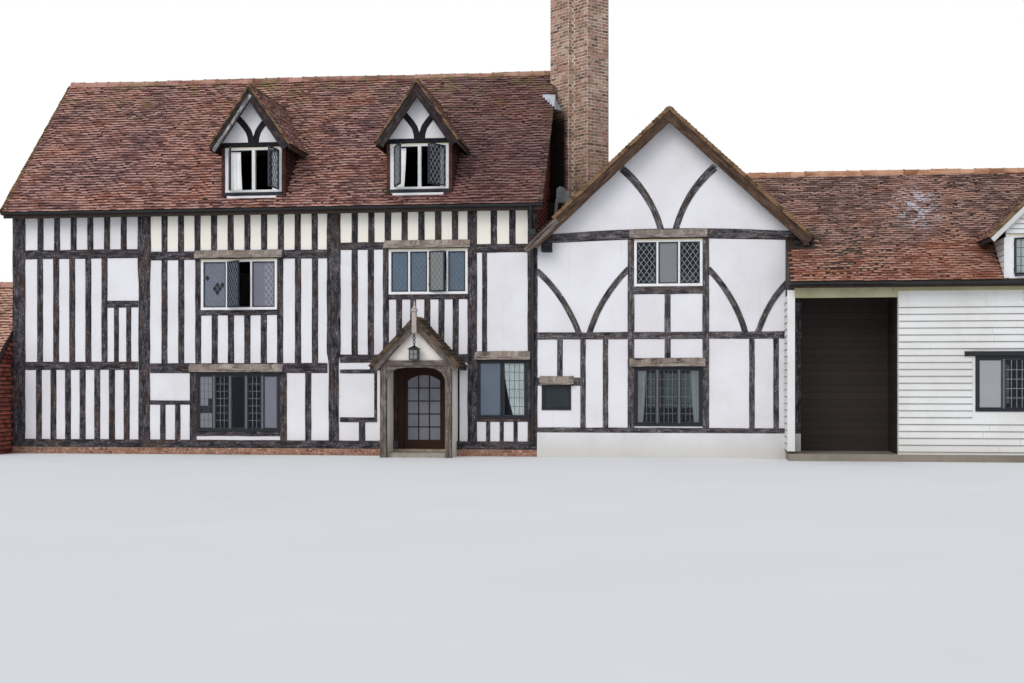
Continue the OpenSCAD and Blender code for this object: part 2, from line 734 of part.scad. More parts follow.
// Dormers: [middle, front face, width, ridge, pitch, roof width, verge, board]
function dormer_slopes(d) =
    [d[0], 0, d[5] / 2, d[3] - dormer_roof_t / cos(d[4]), d[4], dormer_roof_t];
module main_below_tiles() { along_x(-far, far) below_tiles_2d(main_slopes); }
module range_below_tiles() { along_x(-far, far) below_tiles_2d(range_slopes); }
main_dormers = [for (x = [left_dormer_x, right_dormer_x])
    [x, dormer_y, dormer_w, dormer_ridge_z, dormer_pitch, dormer_roof_w, dormer_verge,
        dormer_board_h]];
range_dormer_y = range_y0 - 280;
range_dormer = [wing_x1 + range_dormer_at, range_dormer_y, range_dormer_w, range_dormer_z, 44.6,
    range_dormer_w * 1.5, dormer_verge / 2, bargeboard_h * 0.6];
// Outline of a dormer's front above z0
module dormer_front_2d(d, z0) {
    wall_2d(dormer_slopes(d), d[0] - d[2] / 2, d[0] + d[2] / 2, z0);
}
// A dormer's window stands just above the tiles, and its head a little under the eaves
function dormer_window(d, r, lift, drop, open) = [d[0], roof_top(r, r[0] - d[1]) + lift,
    roof_under(dormer_slopes(d), d[2] / 2) - drop, d[2] - 120, 2, open, dormer_frame_w];
dormer_windows = [
    dormer_window(main_dormers[0], main_slopes, 85, 190, [[0, 68, 0], [1, 84, 1]]),
    dormer_window(main_dormers[1], main_slopes, 85, 190, [[0, 64, 0], [1, 58, 1]])
];
range_dormer_windows = [dormer_window(range_dormer, range_slopes, 72, 207, [[0, 30, 0]])];
module dormer_front(d, w) {
    difference() {
        along_y(d[1], d[1] + dormer_t) dormer_front_2d(d, w[1] - 500);
        translate([win_x0(w), d[1] - eps, w[1]]) cube([w[3], dormer_t + 2 * eps, w[2] - w[1]]);
    }
}
module dormer_fronts() {
    color("#dcdad6") {
        for (i = [0, 1]) difference() {
            dormer_front(main_dormers[i], dormer_windows[i]);
            main_below_tiles();
        }
        difference() {
            dormer_front(range_dormer, range_dormer_windows[0]);
            range_below_tiles();
        }
    }
}
module cheeks(d, y1) {
    for (s = [-1, 1]) intersection() {
        along_y(d[1] + dormer_t, y1) dormer_front_2d(d, 0);
        translate([d[0] + s * (d[2] - dormer_t) / 2 - dormer_t / 2, d[1], 0])
            cube([dormer_t, far, far]);
    }
}
module dormer_cheeks() {
    color("#6d4438") {
        difference() {
            for (d = main_dormers) cheeks(d, -500);
            main_below_tiles();
        }
        difference() {
            cheeks(range_dormer, range_mid);
            range_below_tiles();
        }
    }
}
module dormer_roof(d, y1) {
    along_y(d[1] - d[6], y1) for (s = [-1, 1]) slope_2d(dormer_slopes(d), s);
}
module dormer_roofs() {
    color("#7d4a3c") {
        difference() {
            for (d = main_dormers) dormer_roof(d, -300);
            main_below_tiles();
        }
        difference() {
            dormer_roof(range_dormer, range_mid);
            range_below_tiles();
        }
    }
}

// Ridge tiles sit over the tops of the slopes
module ridge_2d(r) {
    difference() {
        translate([r[0], roof_top(r, 0) - ridge_r * 0.45]) circle(ridge_r, $fn = 48);
        below_tiles_2d(r);
    }
}
module ridge_tiles() {
    color("#86503f") {
        along_x(roof_x0, roof_x1) ridge_2d(main_slopes);
        along_y(front_y - wing_verge, back_y + wing_verge) ridge_2d(wing_slopes);
        difference() {
            along_x(wing_mid, range_x1 + right_verge / 2) ridge_2d(range_slopes);
            wing_body();
        }
        along_x(shed_x0 - left_verge, shed_x1) ridge_2d(shed_slopes);
    }
}

// Cross wing
// All that the boarded range's roof meets of the wing
module wing_body() {
    along_y(timber_y, back_y) wall_2d(wing_slopes, main_x1, wing_x1, -eps);
    wing_slope(1);
}
wing_post_1 = main_x1 + wing_post_in;
wing_post_2 = wing_x1 - wing_post_in + 40;
wing_post_w = 136;
wing_sill = [wing_plinth_h, wing_plinth_h + 110];
wing_mid_rail = [wing_floor_z - 150, wing_floor_z];
wing_tie = [wing_wall_h - 40, wing_wall_h + 140];
tie_camber = 120;
wing_corner_w = 116;
wing_window_1 = [(wing_post_1 + wing_post_2) / 2, wing_floor_z + 1010, wing_wall_h + 20,
    wing_post_2 - wing_post_1 - wing_post_w, 3, []];
wing_window_2 = [wing_window_1[0], wing_plinth_h + 150, wing_floor_z - 770, wing_window_1[3], 3, []];
wing_window_3 = [main_x1 + 430, wing_plinth_h + 500, wing_plinth_h + 1050, 660, 1, []];
wing_windows = [wing_window_1, wing_window_2, wing_window_3];
module wing_gable_2d(z0) { wall_2d(wing_slopes, main_x1, wing_x1, z0); }
// The tie beam rises a little to its middle
module tie_beam() {
    a = main_x1;
    b = wing_x1;
    top = arc_points([a, wing_tie[1]], [b, wing_tie[1]], tie_camber);
    along_y(-timber_proud, timber_d - timber_proud)
        polygon(concat([[a, wing_tie[0]], [wing_post_1 - wing_post_w / 2, wing_window_1[2]],
            [wing_post_2 + wing_post_w / 2, wing_window_1[2]], [b, wing_tie[0]]],
            [for (i = [brace_steps : -1 : 0]) top[i]]));
}
module wing_front_bars() {
    left = main_x1;
    right = wing_x1 - wing_corner_w;
    p1 = wing_post_1 - wing_post_w / 2;
    p2 = wing_post_2 + wing_post_w / 2;
    braces_z = wing_wall_h - 640;
    tie_beam();
    bar(left, wing_x1, wing_sill[0], wing_sill[1]);
    bar(right, wing_x1, wing_sill[1], wing_tie[0] + 30);
    bar(left, right, wing_mid_rail[0], wing_mid_rail[1]);
    for (x = [wing_post_1, wing_post_2])
        upright(x, wing_sill[1], wing_window_1[2], wing_post_w);
    bar(p1, p2, wing_window_1[1] - 165, wing_window_1[1] - 10);
    upright(wing_window_1[0] - 15, wing_window_2[2] + 170, wing_window_1[1] - 165, 126);
    bar(p1, p2, wing_window_2[2], wing_window_2[2] + 170);
    bar(left, left + 970, wing_window_3[2], wing_window_3[2] + 170);
    upright(left + 510, wing_window_3[2] + 170, wing_mid_rail[0], 116);
    upright(left + 1025, wing_sill[1], wing_mid_rail[0], 112);
    upright(left + 1525, wing_sill[1], wing_mid_rail[0], 112);
    for (i = [0, 1]) upright(wing_post_2 + 1000 + i * 520, wing_sill[1],
        wing_mid_rail[0], 112);
    // Braces that fall from the posts to the middle rail
    curved_brace([left + 940, wing_floor_z - 40], [left - 10, braces_z], -110, 120);
    curved_brace([p1 + 20, braces_z + 20], [left + 1160, wing_floor_z - 40], -110, 120);
    curved_brace([wing_post_2 + 860, wing_floor_z - 40], [p2 - 20, braces_z], -110, 120);
    curved_brace([right + 20, braces_z - 130], [right - 810, wing_floor_z - 40], -110,
        120);
    // Braces of the gable
    curved_brace([wing_mid - 130, wing_tie[1] + 60], [wing_mid - 1010, wing_tie[1] + 1500],
        -130, 130);
    curved_brace([wing_mid + 1040, wing_tie[1] + 1490], [wing_mid + 170, wing_tie[1] + 60],
        -130, 130);
}
module wing_front_frame() {
    color("#3d3a38") at_front() intersection() {
        wing_front_bars();
        along_y(-timber_proud, wall_t) wing_gable_2d(0);
    }
}
module wing_front_wall() {
    color("#e9e8e6") difference() {
        along_y(front_y, front_y + wall_t) wing_gable_2d(wing_plinth_h);
        at_front() {
            wing_front_bars();
            for (w = wing_windows) window_hole(w);
        }
    }
}
module wing_right_wall() {
    color("#e9e8e6") along_y(front_y + wall_t, back_y - wall_t)
        wall_2d(wing_slopes, wing_x1, wing_x1 - wall_t, wing_plinth_h);
}
wing_back_windows = [
    [-wing_mid, wing_floor_z + 830, wing_wall_h - 100, back_window_w - 100, 3, []],
    [-wing_mid, wing_plinth_h + 360, wing_floor_z - 770, back_window_w - 100, 3, []]
];
module wing_back_bars() {
    x0 = -wing_x1;
    x1 = -main_x1;
    bar(x0, x1, wing_sill[0], wing_sill[1]);
    bar(x0, x1, wing_mid_rail[0], wing_mid_rail[1]);
    bar(x0, x1, wing_tie[0], wing_tie[1]);
    for (x = [x0 + 90, -wing_mid - 900, -wing_mid + 900, x1 - 90])
        upright(x, wing_sill[1], wing_tie[0], 180);
    for (w = wing_back_windows) {
        beside(w, w[1] < 2000 ? wing_sill[1] : wing_mid_rail[1], w[2], stud_w);
        bar(win_x0(w), win_x1(w), w[1] - 120, w[1]);
        bar(win_x0(w) - stud_w, win_x1(w) + stud_w, w[2], w[2] + 60);
    }
    upright(-wing_ridge_x, wing_tie[1], far, 180);
    for (s = [-1, 1]) {
        upright(-wing_mid + s * 1900, wing_mid_rail[1], wing_tie[0]);
        upright(-wing_mid + s * 1900, wing_sill[1], wing_mid_rail[0]);
    }
}
module wing_back_frame() {
    color("#3d3a38") at_back() intersection() {
        wing_back_bars();
        along_y(-timber_proud, wall_t) mirror([1, 0]) wing_gable_2d(0);
    }
}
module wing_back_wall() {
    color("#e9e8e6") difference() {
        along_y(back_y - wall_t, back_y) wing_gable_2d(wing_plinth_h);
        at_back() {
            wing_back_bars();
            for (w = wing_back_windows) window_hole(w);
        }
    }
}
module wing_plinth() {
    out = timber_proud + plinth_out;
    color("#d9d6d2") {
        translate([main_x1, timber_y, 0])
            cube([wing_width, wall_t + timber_proud, wing_plinth_h]);
        translate([main_x1, front_y - out, 0])
            cube([range_roof_x0 - main_x1, plinth_out, wing_plinth_h]);
        translate([main_x1, back_y - wall_t, 0]) cube([wing_width, wall_t + out, wing_plinth_h]);
        translate([wing_x1 - wall_t, front_y + wall_t, 0])
            cube([wall_t, main_depth - 2 * wall_t, wing_plinth_h]);
    }
}
module wing_floor(top, t) {
    difference() {
        translate([main_x1, front_y + wall_t, top - t])
            cube([wing_width - wall_t, main_depth - 2 * wall_t, t]);
        if (t < top) stack_base(main_plinth_h, far);
    }
}
module wing_ground_floor() { color("#8b6f5a") wing_floor(main_plinth_h, main_plinth_h); }
module wing_upper_floors() {
    color("#7a5c43") intersection() {
        union() for (top = [wing_floor_z - 10, wing_wall_h - 10]) wing_floor(top, floor_t);
        along_y(-far, far) below_roof_2d(wing_slopes);
    }
}

wing_roof_y0 = front_y - wing_verge;
wing_roof_y1 = back_y + wing_verge;
pipe_room = 110;
module wing_slope(side) {
    along_y(wing_roof_y0, wing_roof_y1) slope_2d(wing_slopes, side);
}
// The left slope butts against the main gable, and only its verges pass it
module wing_roof_left() {
    color("#7d4a3c") difference() {
        wing_slope(-1);
        translate([main_x1 - 2000, timber_y - pipe_room, 0])
            cube([2000, main_depth + 2 * timber_proud + 2 * pipe_room, far]);
        stack_base(main_plinth_h, base_top_z);
        translate([0, 0, base_top_z - eps]) linear_extrude(far) shafts_2d(0);
    }
}
module wing_roof_right() { color("#7d4a3c") wing_slope(1); }
module bargeboard_2d() {
    top = roof_top(wing_slopes, 0) - 45;
    run = wing_half + wing_eave;
    foot = top - run * tan(wing_pitch);
    translate([wing_ridge_x, 0]) polygon([[0, top], [run, foot], [run, foot - bargeboard_h],
        [0, top - bargeboard_h * 1.15], [-run, foot - bargeboard_h], [-run, foot]]);
}
module bargeboards() {
    color("#4a3529") {
        along_y(wing_roof_y0 - bargeboard_t, wing_roof_y0) bargeboard_2d();
        along_y(wing_roof_y1, wing_roof_y1 + bargeboard_t) bargeboard_2d();
        for (d = concat(main_dormers, [range_dormer]))
            along_y(d[1] - d[6] + 20, d[1] - d[6] + 20 + bargeboard_t)
                verge_board_2d(dormer_slopes(d), d[7]);
        along_y(porch_y0 - porch_verge + 30, porch_y0 - porch_verge + 30 + bargeboard_t)
            verge_board_2d(porch_slopes, bargeboard_h * 0.8);
    }
}

// Boarded range
range_wall_t = 160;
recess_x1 = wing_x1 + recess_w;
recess_y = range_y0 + recess_d;
range_roof_x0 = wing_x1 - 330;
range_sill_z = main_plinth_h + 900;
range_head_z = range_floor_z - 360;
range_windows = [[(recess_x1 + range_x1) / 2 - 220, range_sill_z, range_head_z,
    upper_window_w - 160, 3, []]];
range_back_windows = [for (share = [0.31, 0.7])
    [-wing_x1 - share * range_length, range_sill_z, range_head_z, back_window_w - 300, 2, []]];
range_end_windows = [[range_mid, range_floor_z + 840, range_floor_z + 1840, back_window_w - 500, 2,
    []]];
module range_gable_2d(a, b, z0) {
    wall_2d(range_slopes, a, b, z0);
}
module range_ground_floor() {
    color("#8b6f5a") translate([wing_x1, range_y0, 0])
        cube([range_length, range_depth, main_plinth_h]);
    color("#8b6f5a") translate([range_roof_x0, range_y0, 0])
        cube([wing_x1 - range_roof_x0, range_out - timber_proud, main_plinth_h]);
}
module range_first_floor() {
    x1 = range_x1 - range_wall_t;
    y1 = range_y1 - range_wall_t;
    color("#7a5c43") {
        translate([wing_x1, recess_y + range_wall_t, range_floor_z - floor_t])
            cube([x1 - wing_x1, y1 - recess_y - range_wall_t, floor_t]);
        translate([recess_x1 + range_wall_t, range_y0 + range_wall_t, range_floor_z - floor_t])
            cube([x1 - recess_x1 - range_wall_t, recess_y - range_y0, floor_t]);
    }
}
module at_range_front() { translate([0, range_y0, 0]) children(); }
module at_range_back() { translate([0, range_y1, 0]) rotate(180) children(); }
module at_range_end() { translate([range_x1, 0, 0]) rotate(90) children(); }
module range_front_wall() {
    color("#e6e5e3") difference() {
        along_x(recess_x1, range_x1)
            wall_2d(range_slopes, range_y0, range_y0 + range_wall_t, main_plinth_h);
        at_range_front() for (w = range_windows) window_hole(w);
    }
}
// The beam over the recess carries the eaves to the wing
module recess_beam() {
    color("#d8cfb4") along_x(range_roof_x0 + 120, recess_x1)
        wall_2d(range_slopes, range_y0, range_y0 + range_wall_t, recess_beam_z);
}
module range_back_wall() {
    color("#e6e5e3") difference() {
        along_x(wing_x1, range_x1)
            wall_2d(range_slopes, range_y1, range_y1 - range_wall_t, main_plinth_h);
        at_range_back() for (w = range_back_windows) window_hole(w);
    }
}
module range_end_wall() {
    color("#e6e5e3") difference() {
        along_x(range_x1 - range_wall_t, range_x1)
            range_gable_2d(range_y0 + range_wall_t, range_y1 - range_wall_t, main_plinth_h);
        at_range_end() for (w = range_end_windows) window_hole(w);
    }
}
module recess_walls() {
    color("#d9d6d2") difference() {
        union() {
            along_x(wing_x1, recess_x1)
                wall_2d(range_slopes, recess_y, recess_y + range_wall_t, main_plinth_h);
            along_x(recess_x1, recess_x1 + range_wall_t)
                wall_2d(range_slopes, range_y0 + range_wall_t, recess_y + range_wall_t,
                    main_plinth_h);
            along_x(range_roof_x0, range_roof_x0 + 120)
                wall_2d(range_slopes, range_y0, timber_y, main_plinth_h);
        }
        wing_slope(1);
    }
}
module range_slope(side) {
    along_x(wing_mid, range_x1 + right_verge / 2) slope_2d(range_slopes, side);
}
// The front slope runs on in front of the wing's corner, and its valley follows the wing's tiles
module range_roof_front() {
    inner_w = range_dormer_w - 2 * dormer_t;
    color("#7d4a3c") difference() {
        range_slope(-1);
        translate([wing_mid - eps, range_y0 - far, 0])
            cube([range_roof_x0 - wing_mid + eps, far + range_out - timber_proud, far]);
        wing_body();
        along_y(wing_roof_y0 - bargeboard_t, wing_roof_y0) bargeboard_2d();
        translate([range_dormer[0] - inner_w / 2, range_y0 + range_wall_t, 0])
            cube([inner_w, range_half * 13 / 30, far]);
    }
}
module range_roof_back() {
    color("#7d4a3c") difference() {
        range_slope(1);
        wing_body();
    }
}

// Outhouse at the left end
module outhouse_walls() {
    color("#9a5b48") {
        along_x(shed_x0, shed_x1) wall_2d(shed_slopes, shed_y0, shed_y0 + shed_wall_t, 0);
        along_x(shed_x0, shed_x1) wall_2d(shed_slopes, shed_y1 - shed_wall_t, shed_y1, 0);
        along_x(shed_x0, shed_x0 + shed_wall_t) wall_2d(shed_slopes, shed_y0, shed_y1, 0);
        along_x(shed_x1 - shed_wall_t, shed_x1)
            wall_2d(shed_slopes, shed_y0, timber_y - plinth_out, 0);
    }
}
module outhouse_roof() {
    color("#b0705c") for (s = [-1, 1])
        along_x(shed_x0 - left_verge, shed_x1) slope_2d(shed_slopes, s);
}

// Porch
porch_y0 = front_y - porch_out;
porch_x0 = door_x - porch_w / 2;
porch_x1 = door_x + porch_w / 2;
porch_tie_h = 110;
porch_roof_t = 70;
porch_half = porch_w / 2;
porch_plate_z = porch_tie_z + porch_tie_h;
porch_verge = 100;
porch_wall_t = 90;
porch_step_h = 100;
porch_slopes = [door_x, porch_half, porch_eave, porch_plate_z, porch_pitch, porch_roof_t];
// A board between the posts, its lower edge an arch: a flat middle between two tight corners
arch_rise = 260;
arch_corner = 200;
arch_crown = 30;
arch_flat = porch_w / 2 - porch_post - arch_corner;
function arch_z(u) = porch_tie_z - arch_rise + arch_corner + arch_crown * (1 - pow(u / arch_flat, 2));
module arch_board() {
    half = porch_w / 2 - porch_post;
    z0 = porch_tie_z - arch_rise;
    along_y(porch_y0 + 30, porch_y0 + 90) translate([door_x, 0]) polygon(concat(
        [[-half, porch_tie_z], [-half, z0]],
        [for (a = [10 : 10 : 80])
            [-arch_flat - arch_corner * cos(a), z0 + arch_corner * sin(a)]],
        [for (i = [-4 : 4]) [arch_flat * i / 4, arch_z(arch_flat * i / 4)]],
        [for (a = [80 : -10 : 10])
            [arch_flat + arch_corner * cos(a), z0 + arch_corner * sin(a)]],
        [[half, z0], [half, porch_tie_z]]));
}
module porch_frame() {
    color("#6f655b") {
        for (x = [porch_x0, porch_x1 - porch_post])
            translate([x, porch_y0, 0]) cube([porch_post, porch_post, porch_tie_z]);
        // Tie beam, side plates and the king post with its finial
        translate([porch_x0, porch_y0, porch_tie_z]) cube([porch_w, porch_post, porch_tie_h]);
        for (x = [porch_x0, porch_x1 - porch_post])
            translate([x, porch_y0 + porch_post, porch_tie_z])
                cube([porch_post, porch_out - porch_post - timber_proud, porch_tie_h]);
        translate([door_x - 50, porch_y0, porch_plate_z])
            cube([100, 60, roof_under(porch_slopes, 50) - porch_plate_z]);
        arch_board();
    }
}
module porch_walls() {
    y0 = porch_y0 + porch_post;
    color("#e9e8e6") {
        for (x = [porch_x0 + 25, porch_x1 - 25 - porch_wall_t])
            translate([x, y0, 0]) cube([porch_wall_t, timber_y - y0, porch_tie_z]);
        // Plaster of the little gable, behind the king post
        along_y(porch_y0 + 60, porch_y0 + 120)
            wall_2d(porch_slopes, porch_x0, porch_x1, porch_plate_z);
    }
}
module porch_step() {
    x0 = porch_x0 + 25 + porch_wall_t;
    color("#8f877c") translate([x0, porch_y0 + porch_post, 0])
        cube([porch_w - 50 - 2 * porch_wall_t, timber_y - porch_y0 - porch_post, porch_step_h]);
}
module porch_roof() {
    color("#7d4a3c") for (s = [-1, 1])
        along_y(porch_y0 - porch_verge, timber_y) slope_2d(porch_slopes, s);
    // A spike stands on the front of the ridge
    top = roof_top(porch_slopes, 0);
    color("#4a4440") translate([door_x, porch_y0 - porch_verge / 2, top - 40])
        cylinder(h = 340, r1 = 34, r2 = 6, $fn = 24);
}
lantern_y = porch_y0 - 130;
lantern_z = porch_tie_z + 120;
module porch_lantern() {
    color("#2a2a2a") {
        translate([door_x, lantern_y, lantern_z]) {
            translate([-12, -12, 510]) cube([24, porch_y0 - lantern_y + 12, 24]);
            translate([0, 0, 270]) cylinder(h = 250, r = 8, $fn = 16);
            translate([0, 0, 210]) cylinder(h = 70, r1 = 130, r2 = 20, $fn = 24);
            translate([0, 0, 20]) cylinder(h = 190, r1 = 80, r2 = 110, $fn = 24);
            cylinder(h = 20, r = 90, $fn = 24);
        }
    }
}

// Front door, its frame and hinges
leaf_z0 = main_plinth_h + 8;
leaf_z1 = 1920;
leaf_rise = 130;
leaf_y0 = front_y + 105;
leaf_y1 = leaf_y0 + leaf_t;
door_frame_y0 = front_y + 40;
door_frame_y1 = leaf_y1 + 5;
stop_y = leaf_y0 - leaf_gap;
stop_cover = 12;
leaf_x0 = door_x - leaf_w / 2;
hinge_x = leaf_x0 - leaf_gap / 2;
hinge_r = 12;
hinge_y = door_frame_y1 + hinge_r;
pin_r = 5;
hinge_zs = [450, 1550];
knuckle_h = 60;
// Outline of the leaf with its arched head, grown all round but at the foot
module leaf_2d(grow, foot) {
    half = leaf_w / 2 + grow;
    rise = leaf_rise;
    radius = (half * half + rise * rise) / (2 * rise);
    spring = leaf_z1 + grow - rise;
    intersection() {
        translate([door_x - half, foot]) square([2 * half, leaf_z1 + grow - foot]);
        translate([door_x, spring + rise - radius]) circle(radius, $fn = 180);
    }
    translate([door_x - half, foot]) square([2 * half, spring - foot]);
}
module door_frame() {
    color("#4b382b") difference() {
        translate([doorway_x0, door_frame_y0, main_plinth_h])
            cube([doorway_w, door_frame_y1 - door_frame_y0, doorway_z - main_plinth_h]);
        along_y(stop_y, door_frame_y1 + eps) leaf_2d(leaf_gap, main_plinth_h - eps);
        along_y(door_frame_y0 - eps, stop_y + eps) leaf_2d(-stop_cover, main_plinth_h - eps);
    }
}
module door_hinges() {
    color("#2a2a2a") for (z = hinge_zs) {
        translate([hinge_x, hinge_y, z - knuckle_h / 2 - 21])
            cylinder(h = knuckle_h + 42, r = pin_r, $fn = 24);
        for (end = [z - knuckle_h / 2 - 21, z + knuckle_h / 2 + 1])
            translate([0, 0, end]) {
                translate([hinge_x, hinge_y, 0]) cylinder(h = 20, r = hinge_r, $fn = 32);
                translate([hinge_x - 60, door_frame_y1, 0]) cube([60, 5, 20]);
            }
    }
}
glass_edge = 96;
bar_t = 22;
module door_glass_2d(lap = 0) {
    leaf_2d(lap - glass_edge, leaf_z0 + 200 - lap);
}
module front_door() {
    cols = 3;
    rows = 5;
    z0 = leaf_z0 + 200;
    z1 = leaf_z1 - glass_edge;
    half = leaf_w / 2 - glass_edge;
    color("#6a4630") {
        difference() {
            along_y(leaf_y0, leaf_y1) leaf_2d(0, leaf_z0);
            along_y(leaf_y0 - eps, leaf_y1 + eps) door_glass_2d();
        }
        // Glazing bars stand in front of the glass
        intersection() {
            along_y(leaf_y0 + 5, leaf_y0 + 25) door_glass_2d(3);
            union() {
                for (i = [1 : cols - 1])
                    translate([door_x - half + 2 * half * i / cols - bar_t / 2, leaf_y0, z0 - 3])
                        cube([bar_t, leaf_t, z1 - z0 + 6]);
                for (i = [1 : rows - 1])
                    translate([door_x - half - 3, leaf_y0, z0 + (z1 - z0) * i / rows - bar_t / 2])
                        cube([2 * half + 6, leaf_t, bar_t]);
            }
        }
        for (z = hinge_zs) difference() {
            union() {
                translate([hinge_x, hinge_y, z - knuckle_h / 2])
                    cylinder(h = knuckle_h, r = hinge_r, $fn = 32);
                translate([hinge_x, leaf_y1 - 1, z - knuckle_h / 2])
                    cube([hinge_r, hinge_y - leaf_y1 + 1, knuckle_h]);
                translate([hinge_x + leaf_gap / 2, leaf_y1 - 1, z - knuckle_h / 2])
                    cube([70, 6, knuckle_h]);
            }
            translate([hinge_x, hinge_y, z - knuckle_h])
                cylinder(h = 2 * knuckle_h, r = pin_r + 0.1, $fn = 24);
        }
    }
}
module front_door_glass() {
    color("#5b6a70") along_y(leaf_y0 + 25, leaf_y0 + 25 + glass_t) door_glass_2d();
}

// Windows of every wall
module window_frames() {
    color("#d5d3cf") {
        at_front() for (w = concat(front_windows, wing_windows)) window_frame(w);
        at_back() for (w = concat(back_windows, wing_back_windows)) window_frame(w);
        at_left() for (w = left_windows) window_frame(w);
        at_range_front() for (w = range_windows) window_frame(w);
        at_range_back() for (w = range_back_windows) window_frame(w);
        at_range_end() for (w = range_end_windows) window_frame(w);
        translate([0, dormer_y + timber_proud, 0]) for (w = dormer_windows) window_frame(w);
        translate([0, range_dormer_y + timber_proud, 0])
            for (w = range_dormer_windows) window_frame(w);
    }
}
module open_casements() {
    color("#45423f") {
        at_front() for (w = front_windows) open_casement(w);
        translate([0, dormer_y + timber_proud, 0]) for (w = dormer_windows) open_casement(w);
        translate([0, range_dormer_y + timber_proud, 0])
            for (w = range_dormer_windows) open_casement(w);
    }
}
module window_glass() {
    color("#6c7b84") {
        at_front() for (w = concat(front_windows, wing_windows)) {
            window_panes(w);
            open_casement_glass(w);
        }
        at_back() for (w = concat(back_windows, wing_back_windows)) window_panes(w);
        at_left() for (w = left_windows) window_panes(w);
        at_range_front() for (w = range_windows) window_panes(w);
        at_range_back() for (w = range_back_windows) window_panes(w);
        at_range_end() for (w = range_end_windows) window_panes(w);
        translate([0, dormer_y + timber_proud, 0]) for (w = dormer_windows) {
            window_panes(w);
            open_casement_glass(w);
        }
        translate([0, range_dormer_y + timber_proud, 0])
            for (w = range_dormer_windows) {
                window_panes(w);
                open_casement_glass(w);
            }
    }
}
hood_over = 70;
module hood_over_window(w, lift, left = hood_over, right = hood_over) {
    hood(win_x0(w) - left, win_x1(w) + right, w[2] + lift);
}
module window_hoods() {
    color("#7d776c") at_front() {
        hood_over_window(window_1, 40, 130, 130);
        hood_over_window(window_2, 30, 100, 60);
        hood_over_window(window_3, 40, 150, 70);
        hood_over_window(window_4, 20, 40, 60);
        hood_over_window(wing_window_1, 50, 100, 100);
        hood_over_window(wing_window_2, 30, 100, 60);
        hood_over_window(wing_window_3, 40, 40, 60);
    }
}

// Gutters along the eaves, and the downpipe with its hopper head by the wing
module gutter_2d(y, z, side) {
    c = y + side * gutter_r;
    difference() {
        union() {
            translate([c, z]) circle(gutter_r, $fn = 32);
            translate([side > 0 ? y : y - gutter_t, z - gutter_r]) square([gutter_t, gutter_r]);
        }
        translate([c, z]) circle(gutter_r - gutter_t, $fn = 32);
        translate([c - 2 * gutter_r, z]) square([4 * gutter_r, 2 * gutter_r]);
    }
}
main_eave_z = roof_top(main_slopes, roof_run(main_slopes));
range_eave_z = roof_top(range_slopes, roof_run(range_slopes));
module gutters() {
        for (s = [-1, 1]) along_x(roof_x0 - 20, roof_x1 - 20)
            gutter_2d(s * (main_half + main_eave), main_eave_z - 50, s);
        for (s = [-1, 1]) along_x(s < 0 ? range_roof_x0 : wing_x1 + wing_eave + 60,
            range_x1 + right_verge / 2)
            gutter_2d(range_mid + s * (range_half + range_eave), range_eave_z - 50, s);
}
pipe_x = main_x1 - 100;
head_z = 4950;
module downpipe() {
    pipe_y = timber_y - pipe_r;
    gutter_y = front_y - main_eave - gutter_r;
    drop_z = main_eave_z - 190;
    rise = drop_z - head_z - 100;
    run = pipe_y - gutter_y;
    translate([pipe_x, pipe_y, main_plinth_h + 150])
        cylinder(h = head_z - main_plinth_h - 150, r = pipe_r, $fn = 32);
    translate([pipe_x - 75, pipe_y - 75, head_z]) cube([150, 75 + pipe_r, 130]);
    translate([pipe_x, gutter_y, drop_z - 10])
        cylinder(h = main_eave_z - 45 - gutter_r - drop_z, r = pipe_r * 0.8, $fn = 32);
    translate([pipe_x, pipe_y, head_z + 100]) rotate([atan2(run, rise), 0, 0])
        cylinder(h = norm([run, rise]), r = pipe_r * 0.8, $fn = 32);
}
module rainwater_goods() {
    color("#1d1d1f") {
        gutters();
        downpipe();
    }
}

main_plinth();
main_ground_floor();
main_upper_floors();
corner_posts();
main_front_frame();
front_wall_left();
front_wall_right();
upper_wall_left();
upper_wall_right();
main_back_frame();
main_back_wall();
main_left_frame();
main_left_wall();
main_right_wall();
main_roof_front();
main_roof_back();
ridge_tiles();
dormer_fronts();
dormer_cheeks();
dormer_roofs();
porch_frame();
porch_walls();
porch_step();
porch_roof();
porch_lantern();
door_frame();
door_hinges();
front_door();
front_door_glass();
window_frames();
open_casements();
window_glass();
window_hoods();
rainwater_goods();
wing_plinth();
wing_ground_floor();
wing_upper_floors();
wing_front_frame();
wing_front_wall();
wing_right_wall();
wing_back_frame();
wing_back_wall();
wing_roof_left();
wing_roof_right();
bargeboards();
chimney_stack();
chimney_cap();
range_ground_floor();
range_first_floor();
range_front_wall();
range_back_wall();
range_end_wall();
recess_walls();
recess_beam();
range_roof_front();
range_roof_back();
outhouse_walls();
outhouse_roof();
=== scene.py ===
import math
import bmesh
import bpy
import numpy as np
from mathutils import Matrix, Vector


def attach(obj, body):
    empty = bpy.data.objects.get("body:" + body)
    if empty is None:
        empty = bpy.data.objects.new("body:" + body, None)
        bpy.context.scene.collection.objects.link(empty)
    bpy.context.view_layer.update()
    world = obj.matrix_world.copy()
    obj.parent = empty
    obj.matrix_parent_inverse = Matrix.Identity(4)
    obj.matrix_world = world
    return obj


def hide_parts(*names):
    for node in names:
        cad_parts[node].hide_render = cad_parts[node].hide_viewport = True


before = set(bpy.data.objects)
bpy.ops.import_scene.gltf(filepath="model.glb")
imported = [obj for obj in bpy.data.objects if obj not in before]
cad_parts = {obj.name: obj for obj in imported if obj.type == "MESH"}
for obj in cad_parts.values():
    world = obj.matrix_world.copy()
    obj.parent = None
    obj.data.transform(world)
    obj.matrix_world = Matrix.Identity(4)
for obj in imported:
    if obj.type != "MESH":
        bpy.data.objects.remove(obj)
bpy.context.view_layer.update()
scene = bpy.context.scene

